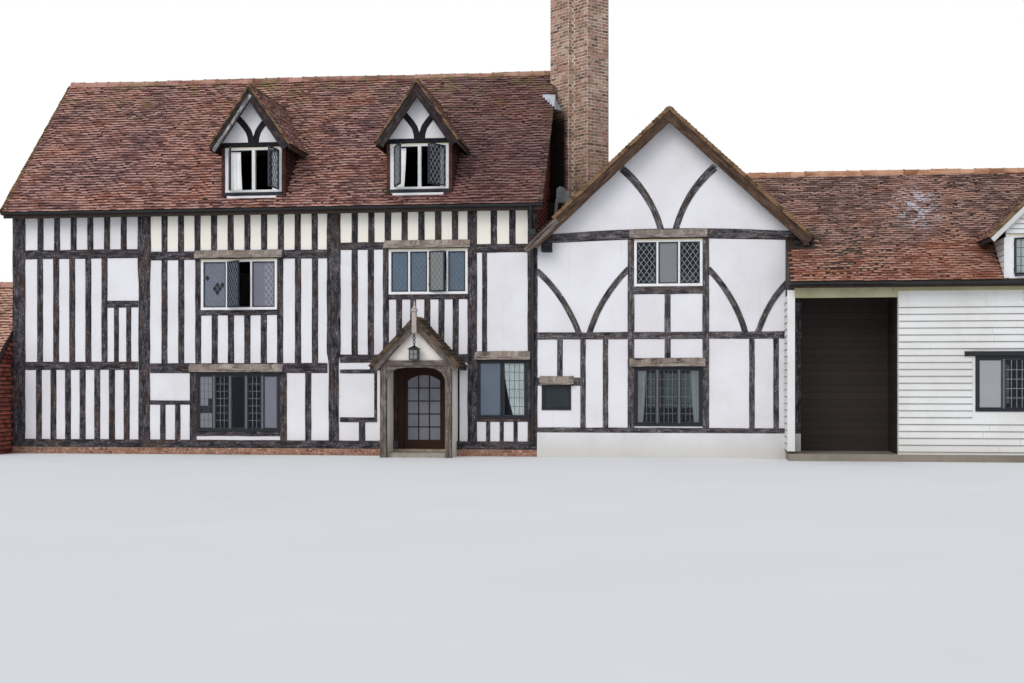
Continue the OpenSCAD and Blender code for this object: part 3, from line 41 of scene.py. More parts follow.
# Places of the house, in metres: X to the right along the front, the front faces -Y, Z is up
MAIN_X0, MAIN_X1 = -10.91, 1.5
WING_X1, RANGE_X1 = 7.28, 14.4
FRONT_Y, BACK_Y = -3.2, 3.2
RANGE_Y0, RANGE_Y1, RANGE_MID = -4.2, 1.8, -1.2
WING_MID, WING_RIDGE = 4.39, 4.44
RECESS_X1, RETURN_X = 9.2, 6.95
SHED_X0, SHED_X1, SHED_Y0, SHED_Y1, SHED_MID = -14.125, -10.925, -4.15, 0.29, -1.93
PROUD, PLINTH_TOP = 0.015, 0.15
POST_1, POST_2, POST_3 = -7.69, -3.17, 0.03
CORNER_X, END_POST_X = -10.625, 1.29
DOOR_X = -1.1
PORCH_Y0, PORCH_TIE = -4.05, 2.03
DORMER_Y, DORMER_XS, DORMER_VERGE = -3.28, (-5.04, -1.165), -3.58
RANGE_DORMER_X, RANGE_DORMER_Y = 12.0, -4.48
SHAFTS = ((1.9808, -0.32), (2.4558, -0.544))
SHAFT_HALF, CHEEK = 0.34, 0.735


def sin(degrees):
    return math.sin(math.radians(degrees))


def cos(degrees):
    return math.cos(math.radians(degrees))


def tan(degrees):
    return math.tan(math.radians(degrees))


class Roof:
    """A pair of slopes: the line of the ridge, half the span, the eave, the wall's height and the pitch."""

    def __init__(self, axis, ridge, half, eave, wall_h, pitch, thick=0.12):
        self.axis, self.ridge, self.run = axis, ridge, half + eave
        self.half, self.wall_h, self.pitch, self.thick = half, wall_h, pitch, thick

    def under(self, d):
        return self.wall_h + (self.half - abs(d)) * tan(self.pitch)

    def top(self, d):
        return self.under(d) + self.thick / cos(self.pitch)

    def top_at(self, x, y):
        return self.top((y if self.axis == "x" else x) - self.ridge)


def dormer_roof(x, run, top, pitch, thick=0.08):
    return Roof("y", x, 0.0, run, top - thick / cos(pitch), pitch, thick)


MAIN_ROOF = Roof("x", 0.0, 3.2, 0.35, 5.84, 46)
WING_ROOF = Roof("y", WING_RIDGE, 2.89, 0.16, 4.8, 43)
RANGE_ROOF = Roof("x", RANGE_MID, 3.0, 0.3, 3.87, 39.5)
SHED_ROOF = Roof("x", SHED_MID, 2.22, 0.15, 1.89, 42)
PORCH_ROOF = Roof("y", DOOR_X, 0.8, 0.2, 2.14, 47, 0.07)
DORMER_ROOFS = [dormer_roof(x, 0.94, 8.43, 55) for x in DORMER_XS]
RANGE_DORMER_ROOF = dormer_roof(RANGE_DORMER_X, 1.05, 5.68, 44.6)


# ---------------------------------------------------------------- paints

def rgb(code):
    parts = [int(code[i:i + 2], 16) / 255 for i in (0, 2, 4)]
    return [p / 12.92 if p <= 0.04045 else ((p + 0.055) / 1.055) ** 2.4 for p in parts] + [1]


class Nodes:
    """A node tree and a short way to fill it."""

    def __init__(self, tree):
        self.tree = tree

    def put(self, socket, value):
        if isinstance(value, bpy.types.NodeSocket):
            self.tree.links.new(value, socket)
        elif value is not None:
            socket.default_value = value

    def add(self, kind, inputs=None, **values):
        """The outputs of a new node; inputs says what each input holds or is linked from."""
        made = self.tree.nodes.new(kind)
        for key, value in values.items():
            setattr(made, key, value)
        for key, value in (inputs or {}).items():
            self.put(made.inputs[key], value)
        return made.outputs


class Paint(Nodes):
    """A material and the patterns it is made of."""

    def __init__(self, name):
        self.mat = bpy.data.materials.new(name)
        self.mat.use_nodes = True
        super().__init__(self.mat.node_tree)
        self.shader = self.tree.nodes["Principled BSDF"]
        self.place = self.add("ShaderNodeTexCoord")["Object"]
        self.across, self.height = self.part(0), self.part(2)

    def attr(self, name, out="Fac"):
        return self.add("ShaderNodeAttribute", attribute_name=name)[out]

    def part(self, axis):
        return self.add("ShaderNodeSeparateXYZ", {0: self.place})[axis]

    def noise(self, scale, detail=3.0, rough=0.55, warp=0.0, at=None):
        inputs = {"Vector": at or self.place, "Scale": scale, "Detail": detail, "Roughness": rough, "Distortion": warp}
        return self.add("ShaderNodeTexNoise", inputs)["Fac"]

    def drawn(self, vector, x, y, z, detail, rough, warp=0.0):
        """Noise that is drawn out along an axis: the smaller its number, the longer."""
        at = self.add("ShaderNodeVectorMath", {0: vector, 1: (x, y, z)}, operation="MULTIPLY")[0]
        return self.noise(1.0, detail, rough, warp, at)

    def ramp(self, fac, *stops):
        """stops are places and colours, or colours alone, evenly spread."""
        if isinstance(stops[0], str):
            stops = [(i / (len(stops) - 1), s) for i, s in enumerate(stops)]
        made = self.tree.nodes.new("ShaderNodeValToRGB")
        self.put(made.inputs["Fac"], fac)
        points = made.color_ramp.elements
        while len(points) < len(stops):
            points.new(0.5)
        for point, (at, colour) in zip(points, stops):
            point.position = at
            point.color = rgb(colour) if isinstance(colour, str) else (colour, colour, colour, 1)
        return made.outputs["Color"]

    def mix(self, fac, a, b, how="MIX"):
        a, b = (rgb(colour) if isinstance(colour, str) else colour for colour in (a, b))
        return self.add("ShaderNodeMix", {0: fac, 6: a, 7: b}, data_type="RGBA", blend_type=how)[2]

    def over(self, colour, to, share, where):
        """The colour turned to another by a share where a pattern is 1."""
        return self.mix(self.times(where, share), colour, to)

    def math(self, how, a, b=None, clamp=False):
        return self.add("ShaderNodeMath", {0: a, 1: b}, operation=how, use_clamp=clamp)[0]

    def times(self, a, b):
        return self.math("MULTIPLY", a, b)

    def plus(self, a, b, clamp=False):
        return self.math("ADD", a, b, clamp)

    def band(self, value, start, end):
        """0 before start, 1 after end."""
        inputs = {"Value": value, "From Min": start, "From Max": end}
        return self.add("ShaderNodeMapRange", inputs, interpolation_type="SMOOTHSTEP")["Result"]

    def bump(self, height, distance, strength=1.0, under=None):
        inputs = {"Height": height, "Distance": distance, "Strength": strength, "Normal": under}
        return self.add("ShaderNodeBump", inputs)["Normal"]

    def done(self, colour, rough, normal=None, specular=0.3):
        for name, value in (("Base Color", colour), ("Roughness", rough), ("Normal", normal),
                            ("Specular IOR Level", specular)):
            self.put(self.shader.inputs[name], value)
        return self.mat


def plaster_paint(name, base, dull, warm, creamy_and_lit_top=False):
    p = Paint(name)
    clouds = p.noise(0.9, 5, 0.6)
    colour = p.mix(p.band(clouds, 0.35, 0.7), base, dull)
    colour = p.over(colour, warm, 0.28, p.band(p.drawn(p.place, 9, 9, 0.7, 4, 0.6), 0.58, 0.8))
    if creamy_and_lit_top:
        # The row of panels under the eaves, right of the first bay, is painted cream; its upper part is painted near
        # white, painted light where the eaves cast shade
        row = p.times(p.band(p.height, 4.68, 4.8), p.band(p.height, 5.95, 5.85))
        row = p.times(row, p.times(p.band(p.across, -7.8, -7.5), p.band(p.across, 1.6, 1.45)))
        colour = p.over(colour, "f7efdf", 0.8, row)
        colour = p.over(colour, "fff9ec", p.band(p.height, 5.0, 5.4), row)
    colour = p.over(colour, "b9b3a2", 0.5, p.band(p.plus(p.height, p.times(clouds, 0.5)), 0.85, 0.2))
    normal = p.bump(p.noise(55, 4, 0.7), 0.0015, 0.5, p.bump(p.noise(5, 3, 0.6), 0.02, 0.5))
    return p.done(colour, 0.9, normal, specular=0.2)


def oak_paint(name, dark, middle, light, fleck, fleck_share=0.6, brown="4c382b"):
    """Old oak. The attribute grain runs along the timber, across it, and differs from timber to timber."""
    p = Paint(name)
    grain = p.attr("grain", "Vector")
    long = p.drawn(grain, 2.2, 34, 5, 5, 0.7, 0.6)
    patch = p.drawn(grain, 4.5, 11, 3, 4, 0.7)
    colour = p.ramp(p.plus(p.times(long, 0.5), p.times(patch, 0.5)), (0.4, dark), (0.5, middle), (0.6, light))
    colour = p.over(colour, brown, 0.55, p.band(p.drawn(grain, 1.1, 5, 2, 3, 0.6), 0.5, 0.64))
    specks = p.drawn(grain, 18, 46, 9, 4, 0.8, 0.5)
    worn = p.times(p.band(specks, fleck_share - 0.04, fleck_share + 0.05), p.band(patch, 0.4, 0.56))
    colour = p.over(colour, fleck, 0.85, worn)
    cracks = p.band(p.drawn(grain, 1.1, 52, 7, 4, 0.7), 0.43, 0.35)
    colour = p.over(colour, "120f0e", 0.75, cracks)
    normal = p.bump(cracks, -0.006, 0.7, p.bump(p.drawn(grain, 6, 40, 5, 4, 0.7), 0.006, 0.7))
    return p.done(colour, 0.85, normal, specular=0.25)


def tile_paint(name, shades, patch, tail, moss="7d7645", moss_share=0.66, lichen="cdc3ae", lichen_share=0.7,
               warm=None, near_ridge=(6.2, 9.2), shady_end=None, red_foot=None, white_patch=None):
    """Clay tiles. The attribute tint differs from tile to tile, and run is 0 at a tile's tail and 1 at its head."""
    p = Paint(name)
    tint, run = p.attr("tint"), p.attr("run")
    other = p.math("FRACT", p.times(tint, 7.31))
    colour = p.over(p.ramp(tint, *shades.split()), patch, 0.6, p.band(p.noise(0.5, 5, 0.6, 0.4), 0.44, 0.62))
    if warm:
        colour = p.over(colour, warm, 0.6, p.band(p.drawn(p.place, 0.9, 0.9, 1.44, 4, 0.65), 0.5, 0.66))
    if red_foot:
        colour = p.over(colour, "a8603f", 0.5, p.band(p.height, *red_foot))
    light = p.plus(p.drawn(p.place, 1.7, 3.4, 8.16, 4, 0.7), p.times(other, 0.22))
    colour = p.mix(1.0, colour, p.ramp(light, (0.44, 0.72), (0.74, 1.08)), "MULTIPLY")
    # Painted highlight, partly worn clay: the tail end of each lighter tile turns to the pale tail colour
    colour = p.over(colour, tail, 0.92, p.times(p.band(run, 0.42, 0.04), p.band(light, 0.48, 0.74)))
    if shady_end:
        colour = p.over(colour, "4a3439", 0.55, p.band(p.across, *shady_end))
    green = p.band(p.noise(2.0, 6, 0.75), moss_share, moss_share + 0.1)
    by_ridge = p.times(p.band(p.height, *near_ridge), p.band(p.noise(2.6, 5, 0.75), 0.5, 0.62))
    colour = p.over(colour, moss, 0.6, p.plus(green, by_ridge, clamp=True))
    colour = p.over(colour, lichen, 0.6, p.band(p.noise(15, 4, 0.75), lichen_share, lichen_share + 0.07))
    if white_patch:
        x, z, r = white_patch
        away = p.plus(*(p.math("POWER", p.math("SUBTRACT", at, middle), 2.0)
                        for at, middle in ((p.across, x), (p.height, z))))
        crust = p.times(p.band(away, r * r, 0.04 * r * r), p.band(p.noise(4.5, 5, 0.8), 0.49, 0.57))
        colour = p.over(colour, "cfcad2", 0.85, crust)
    # Painted shade: each tile's upper part, under the tail of the next course, is nearly black
    colour = p.over(colour, "1b1415", 0.94, p.band(run, 0.4, 0.64))
    return p.done(colour, 0.88, p.bump(p.noise(70, 4, 0.7), 0.002, 0.6), specular=0.2)


def painted_gable_shadow(p, colour):
    """Painted shadow: the side of the left shaft that the roof's gable shades is painted black."""
    return p.over(colour, "0c0a0b", 0.96, p.times(p.band(p.across, 2.0, 1.84), p.band(p.height, 8.5, 7.9)))


def brick_paint(name, shades, gable_shadow=False):
    p = Paint(name)
    colour = p.over(p.ramp(p.attr("tint"), *shades.split()), "54403b", 0.5, p.band(p.noise(9, 5, 0.7), 0.5, 0.7))
    colour = p.over(colour, "dcc4b0", 0.6, p.band(p.noise(22, 4, 0.75), 0.5, 0.64))
    colour = p.over(colour, "8d7a66", 0.35, p.band(p.noise(1.3, 4, 0.7), 0.45, 0.65))
    # The chimney's bricks can take the gable's painted shadow
    return p.done(painted_gable_shadow(p, colour) if gable_shadow else colour, 0.9, p.bump(p.noise(90, 4, 0.7), 0.003, 0.7), specular=0.2)


def chimney_mortar(name):
    p = Paint(name)
    colour = p.mix(p.band(p.noise(2.5, 5, 0.7), 0.4, 0.62), "ede2d5", "baa998")
    colour = p.over(colour, "7d6b5f", 0.5, p.band(p.noise(14, 4, 0.75), 0.52, 0.66))
    # The mortar takes the gable's painted shadow too
    return p.done(painted_gable_shadow(p, colour), 0.95, p.bump(p.noise(70, 4, 0.7), 0.002, 0.6), specular=0.1)


def mottled_paint(name, base, other, spot, scale=3.0, rough=0.7, bump=0.002, specular=0.35):
    """Paint, iron, lead or stone with wear of its own."""
    p = Paint(name)
    clouds = p.noise(scale, 5, 0.65)
    colour = p.mix(p.band(clouds, 0.35, 0.7), base, other)
    colour = p.over(colour, spot, 0.5, p.band(p.noise(scale * 9, 4, 0.75), 0.6, 0.75))
    normal = p.bump(p.noise(scale * 20, 4, 0.7), bump, 0.6)
    return p.done(colour, p.plus(rough - 0.1, p.times(clouds, 0.2)), normal, specular=specular)


def frame_paint(name, base, dirt, head):
    """Painted window frames; the attribute tint is 1 on a yellowed head or a bare mullion."""
    p = Paint(name)
    colour = p.over(base, dirt, 0.4, p.band(p.noise(6, 5, 0.7), 0.5, 0.75))
    colour = p.over(colour, head, 0.85, p.attr("tint"))
    return p.done(colour, 0.55, p.bump(p.noise(60, 3, 0.6), 0.001, 0.5), specular=0.4)


def pane_paint(name):
    """Old window glass with painted reflections. The attribute tint goes from a dark clear pane over blue painted
    reflections to one painted as the mirrored sky.
    """
    p = Paint(name)
    tint = p.attr("tint")
    painted_reflection = p.ramp(tint, (0.0, "14151d"), (0.3, "343a44"), (0.5, "66798c"), (0.72, "85828f"), (0.86, "8c8d88"),
                  (1.0, "aeb0b8"))
    p.done(p.over(painted_reflection, "2e3742", 0.22, p.noise(2.2, 4, 0.6)), 0.22, specular=0.45)
    see = p.add("ShaderNodeBsdfTransparent", {"Color": (0.8, 0.84, 0.85, 1)})[0]
    both = p.add("ShaderNodeMixShader", {0: p.plus(0.3, p.times(tint, 0.72), clamp=True), 1: see,
                                         2: p.shader.outputs[0]})[0]
    p.put(p.tree.nodes["Material Output"].inputs["Surface"], both)
    return p.mat


def lead_paint(name):
    """Window leads. The attribute tint goes from dark to limed white."""
    p = Paint(name)
    colour = p.ramp(p.attr("tint"), "24282d", "6d757b", "cfd2d6")
    colour = p.over(colour, "5b6065", 0.4, p.band(p.noise(30, 3, 0.7), 0.5, 0.7))
    return p.done(colour, 0.7, p.bump(p.noise(80, 3, 0.6), 0.001, 0.5), specular=0.2)


def glowing_cloth_paint(name, base, shade):
    p = Paint(name)
    weave = p.plus(p.drawn(p.place, 240, 240, 30, 2, 0.5), p.drawn(p.place, 30, 30, 240, 2, 0.5))
    colour = p.mix(p.band(p.noise(3, 4, 0.6), 0.4, 0.7), base, shade)
    # Painted light: the cloth glows a little, so the curtains look lit behind the glass
    p.put(p.shader.inputs["Emission Color"], colour)
    p.put(p.shader.inputs["Emission Strength"], 0.3)
    return p.done(colour, 0.95, p.bump(weave, 0.0006, 0.5), specular=0.1)


def plank_paint(name, base, other, width=0.2, axis=1):
    """Floor boards laid side by side."""
    p = Paint(name)
    boards = p.math("DIVIDE", p.part(axis), width)
    seam = p.math("FRACT", boards)
    line = p.plus(p.band(seam, 0.05, 0.0), p.band(seam, 0.95, 1.0))
    grain = p.drawn(p.place, *((3, 26, 5) if axis == 1 else (26, 3, 5)), 4, 0.65)
    shade = p.math("FRACT", p.times(p.math("FLOOR", boards), 0.618))
    colour = p.mix(p.plus(p.times(grain, 0.7), p.times(shade, 0.3)), base, other)
    colour = p.mix(line, colour, "1d1713")
    return p.done(colour, 0.7, p.bump(p.math("SUBTRACT", grain, line), 0.004, 0.7))


limewash = plaster_paint("limewash", "e9e7ea", "dfdcde", "cfc8b8", creamy_and_lit_top=True)
porch_plaster = plaster_paint("porch_plaster", "efe7df", "e6ddd4", "d3c8b8")
white_render = plaster_paint("white_render", "e2e1e4", "d3d1d1", "c3bcad")
dark_oak = oak_paint("dark_oak", "191617", "38343a", "5e585c", "b3aca8", 0.6)
wing_oak = oak_paint("wing_oak", "211e20", "484448", "736c6e", "b5afac", 0.59, "54463f")
board_oak = oak_paint("bargeboard_oak", "30221b", "4c382c", "665141", "8d7d68", 0.66)
black_board = oak_paint("black_board", "1a1515", "30272a", "4d4141", "948a80", 0.66, "38292a")
black_oak = oak_paint("black_oak", "0f0f12", "1b1b20", "2e2d33", "6f6c6e", 0.7, "1d1a1c")
hood_oak = oak_paint("hood_oak", "5b514b", "8a7f78", "a79b93", "c3b9a4", 0.58, "857468")
porch_oak = oak_paint("porch_oak", "463c35", "6b6059", "857b74", "a79d92", 0.62, "5a4a3e")
pendant_oak = oak_paint("pendant_oak", "8a807b", "ada4a0", "c6bfbb", "dad4d0", 0.6, "a1958d")
door_oak = oak_paint("stained_oak", "1f1411", "38241c", "52362a", "6d4c3a", 0.7, "2f1f19")
old_tiles = tile_paint("roof_tile", "6e4c4a 8a5e57 9a6a5e a0726a 8c5d56 ac7664 7c5654",
                       "6e5459", "d6ac9d", warm="b06a4f", near_ridge=(7.4, 9.3), shady_end=(-3.6, 0.6))
range_tiles = tile_paint("range_tile", "5f4a46 785b54 8a665b 7f6159 996f5e 715850",
                         "5f4c49", "c39f90", lichen_share=0.66, warm="9a5c42", near_ridge=(6.4, 7.4),
                         red_foot=(4.9, 4.3), white_patch=(9.82, 5.55, 0.7))
ridge_clay = tile_paint("ridge_tile", "8a5d53 98695d a67869 8f6257", "8a675e", "c89c8e",
                        lichen_share=0.64)
range_ridge_clay = tile_paint("range_ridge_tile", "a46b50 b47b5d bf8969 9d684e", "a07258", "d8ae90",
                              lichen_share=0.64)
pale_tiles = tile_paint("pale_tile", "b07a67 c79079 d8a78e bd866e a37161", "a88071", "e2bda8")
hung_tiles = tile_paint("hung_tile", "642e28 7f3f34 95503f 733a33", "61362f", "9c5c4e",
                        moss_share=0.75, lichen_share=0.76)
# Painted shade: a darker copy of the hung tiles for the dormers' cheeks, which lie in the shade of their eaves
shaded_cheek_tiles = tile_paint("cheek_tile", "33201e 422926 55322a 3a2523", "35231f", "5f3a31",
                         moss_share=0.75, lichen_share=0.78)
verge_tiles = tile_paint("verge_tile", "4b3b30 5e4a39 76593f 523f32", "4e3e30", "86694d",
                         moss="746a41", moss_share=0.54, near_ridge=(20, 21))
porch_clay = tile_paint("porch_tile", "382c27 43352f 524038 3c302b", "382e29", "64503f",
                        moss="6d6440", moss_share=0.58, near_ridge=(20, 21))
chimney_brick = brick_paint("chimney_brick", "6d4d42 9d6f5d b98b77 7e5c4f cdaa96 54413a a9745f b89d8b", gable_shadow=True)
plinth_brick = brick_paint("plinth_brick", "6f4a3e 8c5c4a a0705a 7a5548")
mortar = mottled_paint("mortar", "b3a08c", "927f6e", "6e6258", 5, 0.95, bump=0.004, specular=0.1)
pale_mortar = chimney_mortar("pale_mortar")
white_paint = frame_paint("painted_window", "ebeaea", "c3bfb6", "d6c79c")
dull_white = frame_paint("dull_white", "cdcac7", "a7a19a", "b5ae9c")
black_paint = frame_paint("black_window", "191a20", "2d2d35", "6f6e72")
iron = mottled_paint("iron_casement", "1b1f2a", "2b313d", "4a5058", 6, 0.5, specular=0.5)
lead = lead_paint("lead")
edge_shade = mottled_paint("edge_shade", "85837f", "6f6d69", "9a9894", 3, 0.9)
glowing_curtain_cloth = glowing_cloth_paint("glowing_curtain_cloth", "fbfaf8", "eeecea")
pale_lead = mottled_paint("sheet_lead", "c4c7cb", "a3a8ad", "e2e4e6", 4, 0.6)
grey_lead = mottled_paint("grey_lead", "9fa2a3", "7d8183", "b6b9ba", 6, 0.7)
flaking_paint = oak_paint("flaking_paint", "3a3434", "7b7677", "a09c9d", "bdbabb", 0.52, "4a4343")
# The door's glass is opaque: its grey-lilac tones are painted reflection
door_pane_reflection = mottled_paint("door_pane_reflection", "74757f", "62636e", "8b8d98", 1.2, 0.18, bump=0.0, specular=0.5)
# Painted shade: the boards of the recess are nearly black, for the shade inside it
shade_dark_recess_boards = plank_paint("shade_dark_recess_boards", "241e1b", "3a302a", 0.16, 2)
frieze_paint = mottled_paint("frieze_paint", "c0b894", "a8a17c", "8a8560", 1.5, 0.7)
black_iron = mottled_paint("black_iron", "17171a", "222227", "3a3a3e", 6, 0.45, specular=0.5)
gutter_black = mottled_paint("black_gutter", "121316", "1c1d22", "33363b", 3, 0.35, specular=0.5)
clear_pane = pane_paint("window_glass")
white_boards = plaster_paint("white_boards", "e6e5e3", "dad8d4", "bdb8a8")
dark_boards = plank_paint("roof_boards", "2a211c", "43362c", 0.18, 0)
floor_boards = plank_paint("floor_boards", "5a4230", "86674b", 0.2, 1)
floor_stone = mottled_paint("floor_stone", "8d8478", "7a7165", "5f584e", 1.5, 0.8, bump=0.004)
step_stone = mottled_paint("step_stone", "a09a8d", "857f73", "6c7057", 4, 0.85, bump=0.004)


# ---------------------------------------------------------------- solids of many small parts

def loft(rings, sides):
    """Faces between rings of points that follow each other, closed at both ends."""
    faces = []
    for start in range(0, sides * (rings - 1), sides):
        for k in range(sides):
            n = (k + 1) % sides
            faces.append([start + k, start + n, start + sides + n, start + sides + k])
    return faces + [list(range(sides))[::-1], list(range(sides * (rings - 1), sides * rings))]


class Heap:
    """Points and faces gathered for one piece."""

    def __init__(self, seed=1):
        self.points, self.faces, self.grain, self.tint = [], [], [], []
        self.chance = np.random.default_rng(seed)

    def add(self, points, faces, grain=None, tint=0.0):
        start = len(self.points)
        self.points += points
        self.faces += [[start + i for i in f] for f in faces]
        self.grain += grain or [(0, 0, 0)] * len(points)
        self.tint += [tint] * len(points)

    def block(self, place, x0, x1, y0, y1, z0, z1, tint=0.0, soft=0.0):
        """A block whose front edges are cut by soft; y0 is its front."""
        grain_id = self.chance.uniform(0, 50)
        ends = [(y1, 0), (y0 + soft, 0)] + ([(y0, soft)] if soft else [])
        points = [q for y, cut in ends for q in ((x0 + cut, y, z0 + cut), (x1 - cut, y, z0 + cut),
                                                 (x1 - cut, y, z1 - cut), (x0 + cut, y, z1 - cut))]
        tall = z1 - z0 > x1 - x0
        grain = [((z, x + y, grain_id) if tall else (x, z + y, grain_id)) for x, y, z in points]
        self.add([place(*q) for q in points], loft(len(ends), 4), grain, tint)

    def beam(self, place, path, width, y0, y1, rough=0.006, step=0.13, edge=0.012):
        """A hewn timber along path, in the plane of its wall. It is never narrower than width."""
        chance = self.chance
        length = [0.0]
        for a, b in zip(path, path[1:]):
            length.append(length[-1] + math.dist(a, b))
        count = max(2, int(length[-1] / step) + 1)
        marks = np.linspace(0, length[-1], count)
        wide = width if callable(width) else (lambda s: width)
        waves = [[(chance.uniform(0.6, 1), chance.uniform(3, 7), chance.uniform(0, 6.3)),
                  (chance.uniform(0.3, 0.6), chance.uniform(10, 22), chance.uniform(0, 6.3))] for _ in range(3)]

        def wobble(k, s):
            raw = sum(a * math.sin(f * s + ph) for a, f, ph in waves[k])
            return rough * (0.5 + raw / 3.2)

        front = y0 - chance.uniform(0, 0.003)
        grain_id = chance.uniform(0, 50)
        points, grain = [], []
        xs, zs = (np.interp(marks, length, [q[axis] for q in path]) for axis in (0, 1))
        for k, s in enumerate(marks):
            a, b = max(0, k - 1), min(count - 1, k + 1)
            dx, dz = xs[b] - xs[a], zs[b] - zs[a]
            run = math.hypot(dx, dz)
            nx, nz = -dz / run, dx / run
            left, right = (wide(s) / 2 + wobble(side, s) for side in (0, 1))
            face = front - wobble(2, s) * 0.35
            for off, y in ((left, y1), (left, face + edge), (left - edge, face), (edge - right, face),
                           (-right, face + edge), (-right, y1)):
                points.append(place(xs[k] + nx * off, y, zs[k] + nz * off))
                grain.append((s, off + (y - y0) * 0.7, grain_id))
        self.add(points, loft(count, 6), grain)

    def prism(self, outline, ends, tint=0.0):
        """An outline of points at one end, and the same outline at the other end."""
        points = list(outline) + list(ends)
        self.add(points, loft(2, len(outline)), [(x, z + y, 7.0) for x, y, z in points], tint)


def mesh_piece(name, mesh, paint, slot, body="house", replaces=(), smooth=False):
    made = bpy.data.objects.new(name, mesh)
    scene.collection.objects.link(made)
    made.data.materials.clear()
    made.data.materials.append(paint)
    if smooth:
        made.data.shade_smooth()
    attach(made, body)
    if replaces:
        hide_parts(*replaces)
    return made


def piece(name, heap, paint, slot, replaces=(), smooth=False):
    mesh = bpy.data.meshes.new(name)
    mesh.from_pydata([tuple(map(float, q)) for q in heap.points], [], heap.faces)
    for key, kind, field, values in (("grain", "FLOAT_VECTOR", "vector", heap.grain),
                                     ("tint", "FLOAT", "value", heap.tint)):
        mesh.attributes.new(key, kind, "POINT").data.foreach_set(field, np.array(values, np.float32).ravel())
    work = bmesh.new()
    work.from_mesh(mesh)
    bmesh.ops.recalc_face_normals(work, faces=work.faces)
    work.to_mesh(mesh)
    work.free()
    mesh.validate()
    return mesh_piece(name, mesh, paint, slot, replaces=replaces, smooth=smooth)


def laying_tree():
    """Geometry Nodes: lays one small shape on many marked places."""
    tree = bpy.data.node_groups.new("lay_small_parts", "GeometryNodeTree")
    for name, kind in (("Places", "Geometry"), ("Shape", "Object"), ("Paint", "Material"), ("Seed", "Int"),
                       ("Unevenness", "Float")):
        tree.interface.new_socket(name=name, in_out="INPUT", socket_type="NodeSocket" + kind)
    tree.interface.new_socket(name="Laid", in_out="OUTPUT", socket_type="NodeSocketGeometry")
    nodes = Nodes(tree)
    given = nodes.add("NodeGroupInput")
    most, seed = given["Unevenness"], given["Seed"]
    kind = "GeometryNodeInputNamedAttribute"
    turn, size = (nodes.add(kind, {"Name": name}, data_type="FLOAT_VECTOR")["Attribute"] for name in ("turn", "size"))
    least = nodes.add("ShaderNodeMath", {0: most, 1: -1}, operation="MULTIPLY")[0]
    spread = nodes.add("FunctionNodeRandomValue", {0: least, 1: most, "Seed": seed}, data_type="FLOAT_VECTOR")[0]
    turn = nodes.add("ShaderNodeVectorMath", {0: turn, 1: spread}, operation="ADD")[0]
    turn = nodes.add("FunctionNodeEulerToRotation", {0: turn})[0]
    shape = nodes.add("GeometryNodeObjectInfo", {"Object": given["Shape"]})["Geometry"]
    inputs = {"Points": given["Places"], "Instance": shape, "Rotation": turn, "Scale": size}
    laid = nodes.add("GeometryNodeInstanceOnPoints", inputs)[0]
    shades = nodes.add("FunctionNodeRandomValue", {"Seed": seed}, data_type="FLOAT")
    shade = next(s for s in shades if s.enabled)
    laid = nodes.add("GeometryNodeStoreNamedAttribute", {"Geometry": laid, "Name": "tint", "Value": shade},
                     data_type="FLOAT", domain="INSTANCE")[0]
    laid = nodes.add("GeometryNodeRealizeInstances", {0: laid})[0]
    laid = nodes.add("GeometryNodeSetMaterial", {"Geometry": laid, "Material": given["Paint"]})[0]
    nodes.put(tree.nodes.new("NodeGroupOutput").inputs["Laid"], laid)
    return tree


LAYING = laying_tree()


def small_shape(name, points, faces, run=None):
    """run marks how far up a tile each point is, for its paint."""
    mesh = bpy.data.meshes.new(name)
    mesh.from_pydata(points, [], faces)
    marks = mesh.attributes.new("run", "FLOAT", "POINT")
    marks.data.foreach_set("value", np.array(run or [0.2] * len(points), np.float32))
    return bpy.data.objects.new(name, mesh)


def lay(name, places, shape, paint, slot, seed=1, uneven=0.012, replaces=()):
    """places: (point, 3x3 axes as columns, size)"""
    mesh = bpy.data.meshes.new(name + "_places")
    mesh.from_pydata([tuple(q) for q, _, _ in places], [], [])
    turns = mesh.attributes.new("turn", "FLOAT_VECTOR", "POINT")
    sizes = mesh.attributes.new("size", "FLOAT_VECTOR", "POINT")
    turns.data.foreach_set("vector", np.array([list(axes.to_euler("XYZ")) for _, axes, _ in places]).ravel())
    sizes.data.foreach_set("vector", np.array([list(size) for _, _, size in places]).ravel())
    marks = bpy.data.objects.new(name + "_places", mesh)
    scene.collection.objects.link(marks)
    way = marks.modifiers.new("lay", "NODES")
    way.node_group = LAYING
    given = {"Shape": shape, "Paint": paint, "Seed": seed, "Unevenness": uneven}
    for socket in LAYING.interface.items_tree:
        if socket.name in given:
            way[socket.identifier] = given[socket.name]
    marks.update_tag()
    graph = bpy.context.evaluated_depsgraph_get()
    laid = bpy.data.meshes.new_from_object(marks.evaluated_get(graph), preserve_all_data_layers=True, depsgraph=graph)
    marks.modifiers.remove(way)
    bpy.data.objects.remove(marks)
    return mesh_piece(name, laid, paint, slot, replaces=replaces)


def axes(x, y, z):
    return Matrix((x, y, z)).transposed()


# ---------------------------------------------------------------- roofs of plain tiles

TILE_W, TILE_L, TILE_HANG, GAUGE = 0.165, 0.135, 0.035, 0.1
plain_tile = small_shape(
    "plain_tile",
    [(-0.0805, 0, 0.019), (0, -0.002, 0.0225), (0.0805, 0, 0.019),
     (-0.0805, TILE_L, 0.006), (0, TILE_L, 0.009), (0.0805, TILE_L, 0.006),
     (-0.079, 0.003, 0.003), (0, 0.001, 0.0065), (0.079, 0.003, 0.003)],
    [[0, 1, 4, 3], [1, 2, 5, 4], [6, 7, 1, 0], [7, 8, 2, 1], [6, 0, 3], [2, 8, 5]],
    run=[0, 0, 0, 1, 1, 1, 0.5, 0.5, 0.5])


